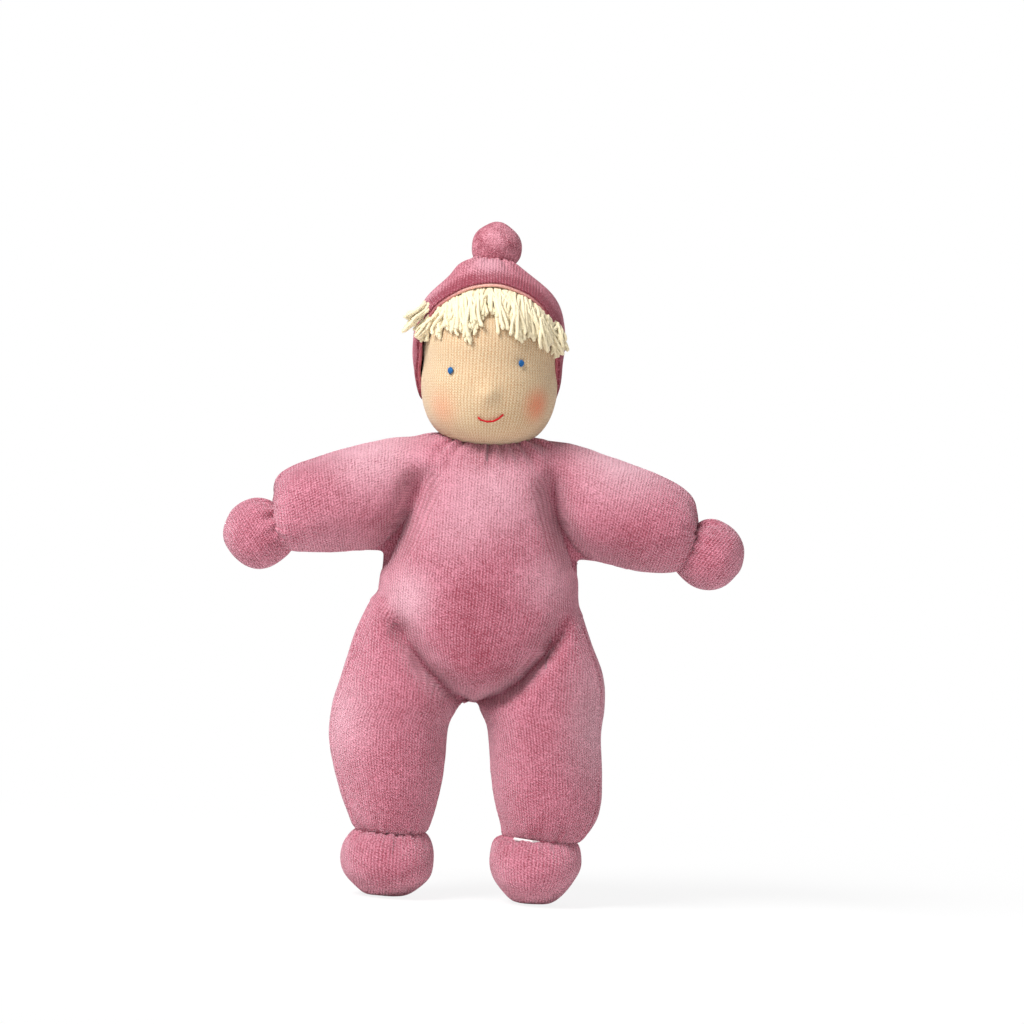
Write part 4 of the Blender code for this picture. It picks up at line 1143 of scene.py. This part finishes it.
TUFTS = (  # root on the brim, then the tip, in the front view, and the number of strands
    ((-28.0, 260.3), (-39.6, 247.5), 1), ((-29.0, 261.0), (-36.6, 254.6), 3),
    ((-28.0, 260.0), (-35.0, 249.5), 5), ((-27.1, 258.5), (-33.6, 244.4), 6),
    ((-25.4, 259.9), (-30.0, 245.0), 8), ((-23.8, 262.2), (-27.1, 250.9), 9),
    ((-21.2, 264.1), (-22.9, 246.7), 9), ((-18.6, 265.6), (-19.1, 250.5), 9),
    ((-16.0, 266.6), (-14.6, 248.5), 9), ((-13.5, 268.1), (-9.9, 244.4), 9),
    ((-10.4, 268.7), (-8.4, 249.8), 9), ((-7.3, 269.3), (-5.5, 252.1), 9),
    ((-3.8, 269.5), (-3.9, 255.3), 9), ((-1.2, 269.7), (1.4, 256.1), 9),
    ((1.9, 269.9), (5.4, 248.3), 9), ((4.6, 269.6), (7.7, 255.1), 9), ((7.3, 269.3), (10.0, 252.6), 9),
    ((9.6, 268.5), (13.5, 245.7), 9), ((12.3, 267.8), (16.0, 249.4), 9),
    ((15.0, 266.2), (18.2, 248.6), 9), ((17.3, 264.5), (21.4, 247.9), 9),
    ((19.6, 262.4), (23.2, 246.2), 9), ((22.0, 260.4), (25.3, 242.0), 9),
    ((24.4, 258.0), (27.4, 244.0), 9), ((26.3, 255.4), (28.8, 241.8), 9),
    ((27.6, 253.4), (30.8, 240.6), 7),
)


STRAND_SIDES, STRAND_RINGS = 8, 18
PLIES = 3
TWIST = 26  # turn of the plies over a strand's length, in radians
STRAND_LENGTH = 25  # in the cloth coordinate, in millimetres


def model_strand(thickness):
    """One straight strand of plied yarn of unit length, twisted and blunt at its tip."""
    deselect()
    bpy.ops.mesh.primitive_circle_add(vertices=STRAND_SIDES, radius=thickness / 2, fill_type="TRIFAN")
    strand = bpy.context.active_object
    bpy.ops.object.mode_set(mode="EDIT")
    bpy.ops.mesh.select_all(action="SELECT")
    for _ in range(STRAND_RINGS):
        bpy.ops.mesh.extrude_region_move(TRANSFORM_OT_translate={"value": (0, 0, 1 / STRAND_RINGS)})
    face_out_and_leave()
    places = points(strand)
    angle = np.arctan2(places[:, 1], places[:, 0])
    ply = 0.8 + 0.3 * np.abs(np.cos(PLIES / 2 * (angle - TWIST * places[:, 2])))
    tip = 1 + 0.25 * soft_step(places[:, 2], 0.86, 0.99) - 0.55 * soft_step(places[:, 2], 0.97, 1.0)
    places[:, :2] *= (ply * tip)[:, None]
    set_points(strand, places)
    round_it = (angle / math.tau + 0.5) * PLIES / 2
    set_cloth_map(strand, places[:, 2] * STRAND_LENGTH, round_it, turn=PLIES / 2)
    return strand


def bend_strand(model, path, scale):
    """A copy of the strand, laid along a smooth path in millimetres."""
    strand = model.copy()
    strand.data = model.data.copy()
    bpy.context.collection.objects.link(strand)
    corners = np.array([tuple(p) for p in path]) * MM
    knots = np.linspace(0, 1, len(corners))
    cubic = np.polynomial.polynomial.polyfit(knots, corners, 3)
    share = points(strand)[:, 2]
    flat = points(strand)[:, :2] * scale
    middle = np.polynomial.polynomial.polyval(share, cubic).T
    way = np.polynomial.polynomial.polyval(share, np.polynomial.polynomial.polyder(cubic)).T
    way /= np.linalg.norm(way, axis=1)[:, None]
    across = np.cross(way, np.array((0.0, 1.0, 0.0)))
    across /= np.linalg.norm(across, axis=1)[:, None]
    out = np.cross(across, way)
    set_points(strand, middle + across * flat[:, :1] + out * flat[:, 1:] * 0.6)
    return strand


def fringe_path(root, tip, lift, bulge, rng):
    """A strand's way from under the brim over the brow to its tip."""
    path = []
    for share in (0.0, 0.2, 0.45, 0.75, 1.0):
        across = root[0] + (tip[0] - root[0]) * share**1.2 + rng.uniform(-1.7, 1.7) * (0 < share < 1)
        height = root[1] + (tip[1] - root[1]) * share
        low, high, _, _ = row_at(HEAD_ROWS, height)
        held = max(low + 1.5, min(high - 1.5, across))
        spot = face_point(held, height, lift + bulge * math.sin(math.pi * min(1, share * 1.1)))
        out = across - held
        path.append(spot + Vector((out, abs(out) * -0.25, 0)))
    return path


class SOFTDOLL_OT_fringe(bpy.types.Operator):
    """Lays the strands of yarn that show under the bonnet"""

    bl_idname = "softdoll.fringe"
    bl_label = "Yarn fringe"

    def execute(self, context):
        look = settings("soft_doll_fringe")
        rng = random.Random(5)
        model = model_strand(look.thickness)
        strands = []
        for root, tip, count in TUFTS:
            lean = rng.uniform(-1.0, 1.0)
            spread = min(1.0, count / 8)
            outside = soft_step(abs(root[0] + 2), 19, 27)
            for strand in range(round(count * look.fullness)):
                layer = (0, 1, 2, 0)[strand % 4]
                start = (root[0] + rng.uniform(-2.6, 2.6) * spread, root[1] + rng.uniform(-0.6, 1.2))
                end = (tip[0] + lean + rng.gauss(0, 1.9) * spread,
                       tip[1] + (rng.uniform(-1.4, 7.0) + 1.2 * layer) * spread)
                lift = 0.8 + 0.75 * layer + 2.4 * outside
                path = fringe_path(start, end, lift, 0.8 + 0.6 * layer, rng)
                path[0] += Vector((0, 4.0 - 3.4 * outside, 2.5 - 2.0 * outside))
                strands.append(bend_strand(model, path, rng.uniform(0.85, 1.12)))
        pick(model)
        bpy.ops.object.delete()
        fringe = join("fringe", strands)
        plump(fringe, scale=0.6, height=0.16, seed=41)
        smooth(fringe)
        yarn = strand_finish("cream yarn", look.colour, shade(look.colour, 0.92), 1.2, plies=2.0,
                             sheen=0.85)
        dress(fringe, yarn, "head", "cream_yarn", "hair_fringe")
        return {"FINISHED"}


# ---------------------------------------------------------------- bonnet

# The planes that open the bonnet at the face and at the neck: a point on each, and its outward side.
OPENING = (Vector((0, -22.0, 270.0)), Vector((0, -0.912, -0.41)))
NAPE = (Vector((0, -8.0, 224.0)), Vector((0, -0.26, -0.966)))
CHEEK_ROOM = (2.5, 1.3)  # gap between the cloth and the head beside the face, right and left
BROW_ROOM = 6.6  # how much wider the gap is over the yarn
BALL_TIE = 281.2  # height of the thread under the ball
BALL_BEND = (280, 287)  # heights between which the ball tips


def trim(piece, place, outward):
    """Cuts away what lies beyond a plane."""
    pick(piece)
    bpy.ops.object.mode_set(mode="EDIT")
    bpy.ops.mesh.select_all(action="SELECT")
    bpy.ops.mesh.bisect(plane_co=place * MM, plane_no=outward, clear_outer=True, use_fill=False)
    bpy.ops.object.mode_set(mode="OBJECT")


def draw_in_rim(bonnet):
    """Draws the cloth at the face opening in, so that it lies on the yarn and the head."""
    places = points(bonnet) / MM
    plane, outward = np.array(OPENING[0]), np.array(OPENING[1])
    low, high, front, back = row_at(HEAD_ROWS, places[:, 2])
    middle = np.stack([(low + high) / 2, (front + back) / 2], axis=1)
    flat = (places[:, :2] - middle) / np.stack([(high - low) / 2, (back - front) / 2], axis=1)
    reach = np.linalg.norm(flat, axis=1)
    room = np.where(places[:, 0] < 0, *CHEEK_ROOM) + BROW_ROOM * soft_step(places[:, 2], 238, 258)
    target = np.minimum(reach, 1 + room / ((high - low) / 2))
    near = soft_step((places - plane) @ outward, -11, -1.5) * (1 - soft_step(places[:, 2], 266, 270))
    share = 1 + near * (target / reach - 1)
    places[:, :2] = middle + (places[:, :2] - middle) * share[:, None]
    set_points(bonnet, places * MM)


def open_edge(piece):
    """The piece's one open edge as an ordered path in millimetres."""
    mesh = bmesh.new()
    mesh.from_mesh(piece.data)
    follow = {}
    for edge in mesh.edges:
        if edge.is_boundary:
            for vertex in edge.verts:
                follow.setdefault(vertex, []).append(edge.other_vert(vertex))
    start = next(iter(follow))
    path, last, here = [start.co / MM], None, start
    while True:
        onward = next(v for v in follow[here] if v is not last)
        if onward is start:
            break
        path.append(onward.co / MM)
        last, here = here, onward
    mesh.free()
    return path


def even_path(path, step):
    """The closed path again, with points about a step apart and its corners eased."""
    corners = np.array([tuple(p) for p in path] + [tuple(path[0])])
    _, run = path_lengths(corners)
    count = max(12, int(run[-1] / step))
    spots = np.linspace(0, run[-1], count, endpoint=False)
    even = np.stack([np.interp(spots, run, corners[:, axis]) for axis in range(3)], axis=1)
    for _ in range(3):
        even = (np.roll(even, 1, axis=0) + 2 * even + np.roll(even, -1, axis=0)) / 4
    return [Vector(p) for p in even]


class SOFTDOLL_OT_bonnet(bpy.types.Operator):
    """Makes the bonnet with its open face, turned hem, gathered crown and tied-off ball"""

    bl_idname = "softdoll.bonnet"
    bl_label = "Bonnet and ball"

    def execute(self, context):
        look = settings("soft_doll_bonnet")
        pitch = settings("soft_doll_suit").rib_pitch
        pile = velour("wine velour", look.colour, look.pale, pitch, BONNET_PAINTED_SHEEN,
                      band=(*OPENING, 0.45), sheen=0.2)
        bonnet = stuffed_form("bonnet", HAT_ROWS, sides=40, levels=2)
        subdivide(bonnet, 1)
        plump(bonnet, scale=15, height=0.7, seed=21)
        gather(bonnet, (-1.3, 0, 284), (0, 0, -1), reach=6, folds=13, depth=0.5, seed=22)
        draw_in_rim(bonnet)
        trim(bonnet, *OPENING)
        trim(bonnet, *NAPE)
        edge = even_path(open_edge(bonnet), 1.1)
        finish_modifier(bonnet, "SOLIDIFY", thickness=look.cloth, offset=-1.0)
        map_upright(bonnet, HAT_ROWS, flat_above=252)
        smooth(bonnet)
        bpy.ops.object.shade_smooth_by_angle(angle=math.radians(50))
        dress(bonnet, pile, "head", "wine_velour", "hat")
        back = jersey("turned hem of the bonnet", look.hem, shade(look.hem, 0.6),
                      ((0.86, 0.50, 0.42), (((-3, -22, 270), 34, 0.9),)))
        inward = look.cloth / MM * 0.7
        middle = Vector((0, 4, 240))
        path = [p - (p - middle).normalized() * inward for p in edge]
        hem = thread("bonnet_hem", path, 0.74, closed=True, sides=10)
        places = points(hem) / MM
        set_cloth_map(hem, places[:, 1], np.abs(places[:, 0]) + 0.4 * places[:, 2])
        dress(hem, back, "head", "wine_velour")
        ball = stuffed_form("bonnet_ball", BALL_ROWS, levels=3)
        plump(ball, scale=8, height=0.55, seed=31)
        gather(ball, (0, 0, 279.5), (0, 0, 1), reach=3.2, folds=9, depth=0.5, seed=32)
        map_upright(ball, BALL_ROWS)
        smooth(ball)
        nap = velour("wine velour of the ball", look.colour, look.pale, pitch, BALL_PAINTED_SHEEN,
                     sheen=0.3, grain=(0.54, 0.2, 0.5))
        bend = [Vector((0, 0, height)) for height in BALL_BEND]
        dress(ball, nap, "head", "wine_velour", "hat_ball_cover", "hat_ball_stuffing",
              bend=("hat_ball", *bend), fill=0.9)
        ring = ring_path(Vector((0, 0, BALL_TIE)), Vector((4.6, 0, 0)), Vector((0, 4.6, 0)), 32)
        tying = strand_finish("rose tying thread", (0.62, 0.25, 0.33), (0.4, 0.12, 0.18), 0.9)
        dress(thread("bonnet_thread", ring, 0.5, closed=True), tying, "head", "tying_thread", "hat_tie")
        return {"FINISHED"}


# ---------------------------------------------------------------- stage

SENSOR = 36  # width of the camera's film in millimetres
LIGHTS = (  # name, place, which setting gives its power, and width of the panel
    ("main_light", (-0.75, -0.7, 1.25), "main_light", 0.6),
    ("fill_light", (1.0, -0.9, 0.3), "fill_light", 0.9),
    ("back_light", (0.25, 1.1, 0.75), "fill_light", 1.0),
)


class SOFTDOLL_OT_stage(bpy.types.Operator):
    """Sets the camera, the soft lights, the pale floor and the white room"""

    bl_idname = "softdoll.stage"
    bl_label = "Stage"

    def execute(self, context):
        plan = settings("soft_doll_stage")
        scene = context.scene
        scene.view_settings.view_transform = "Standard"
        deselect()
        bpy.ops.mesh.primitive_plane_add(size=12, location=(0, 0, -0.0002))
        floor = context.active_object
        floor.name = "floor"
        floor.data.materials.append(backdrop("white sheet"))
        aim = Vector(plan.aim)
        for name, place, power, size in LIGHTS:
            bpy.ops.object.light_add(type="AREA", location=place)
            light = context.active_object
            light.name = name
            light.data.energy = getattr(plan, power)
            light.data.size = size
            light.rotation_euler = (aim - Vector(place)).to_track_quat("-Z", "Y").to_euler()
        away = plan.width * plan.lens / SENSOR
        bpy.ops.object.camera_add(location=aim - Vector((0, away, 0)))
        camera = context.active_object
        camera.data.lens = plan.lens
        camera.data.sensor_width = SENSOR
        level = Matrix.Rotation(math.pi / 2, 3, "X")
        camera.rotation_euler = (Matrix.Rotation(-plan.lean, 3, "Y") @ level).to_euler()
        camera.data.clip_start = 0.01
        scene.camera = camera
        world = bpy.data.worlds.new("white room")
        scene.world = world
        world.use_nodes = True
        nodes, links = world.node_tree.nodes, world.node_tree.links
        path = nodes.new("ShaderNodeLightPath")
        seen = nodes.new("ShaderNodeMath")
        seen.operation = "MAXIMUM"
        links.new(path.outputs["Is Camera Ray"], seen.inputs[0])
        links.new(path.outputs["Is Glossy Ray"], seen.inputs[1])
        strength = nodes.new("ShaderNodeMapRange")
        strength.inputs["To Min"].default_value = plan.sky
        strength.inputs["To Max"].default_value = 1.0
        links.new(seen.outputs[0], strength.inputs["Value"])
        links.new(strength.outputs[0], nodes["Background"].inputs["Strength"])
        nodes["Background"].inputs["Color"].default_value = (1.0, 1.0, 1.0, 1.0)
        return {"FINISHED"}


# ---------------------------------------------------------------- panel and registration

OPERATORS = (SOFTDOLL_OT_suit, SOFTDOLL_OT_ends, SOFTDOLL_OT_head, SOFTDOLL_OT_face, SOFTDOLL_OT_bonnet,
             SOFTDOLL_OT_fringe, SOFTDOLL_OT_stage)
GROUPS = {"soft_doll_suit": SoftDollSuit, "soft_doll_bonnet": SoftDollBonnet,
          "soft_doll_face": SoftDollFace, "soft_doll_fringe": SoftDollFringe,
          "soft_doll_stage": SoftDollStage}


class SOFTDOLL_PT_pieces(bpy.types.Panel):
    """Lists the doll's settings and its pieces"""

    bl_idname = "SOFTDOLL_PT_pieces"
    bl_label = "Soft Doll"
    bl_space_type = "VIEW_3D"
    bl_region_type = "UI"
    bl_category = "Soft Doll"

    def draw(self, context):
        for group in GROUPS:
            box = self.layout.box()
            values = getattr(context.scene, group)
            for name in values.bl_rna.properties.keys():
                if name not in {"rna_type", "name"}:
                    box.prop(values, name)
        for operator in OPERATORS:
            self.layout.operator(operator.bl_idname)


def register():
    """Makes the settings, operators and panel known to Blender."""
    for kind in (*GROUPS.values(), *OPERATORS, SOFTDOLL_PT_pieces):
        bpy.utils.register_class(kind)
    for name, group in GROUPS.items():
        setattr(bpy.types.Scene, name, bpy.props.PointerProperty(type=group))


def unregister():
    """Takes back what register made known."""
    for name in GROUPS:
        delattr(bpy.types.Scene, name)
    for kind in (SOFTDOLL_PT_pieces, *OPERATORS, *GROUPS.values()):
        bpy.utils.unregister_class(kind)


def main():
    """Makes every piece and the stage."""
    register()
    for operator in OPERATORS:
        getattr(bpy.ops.softdoll, operator.bl_idname.split(".")[1])()


if __name__ == "__main__":
    main()
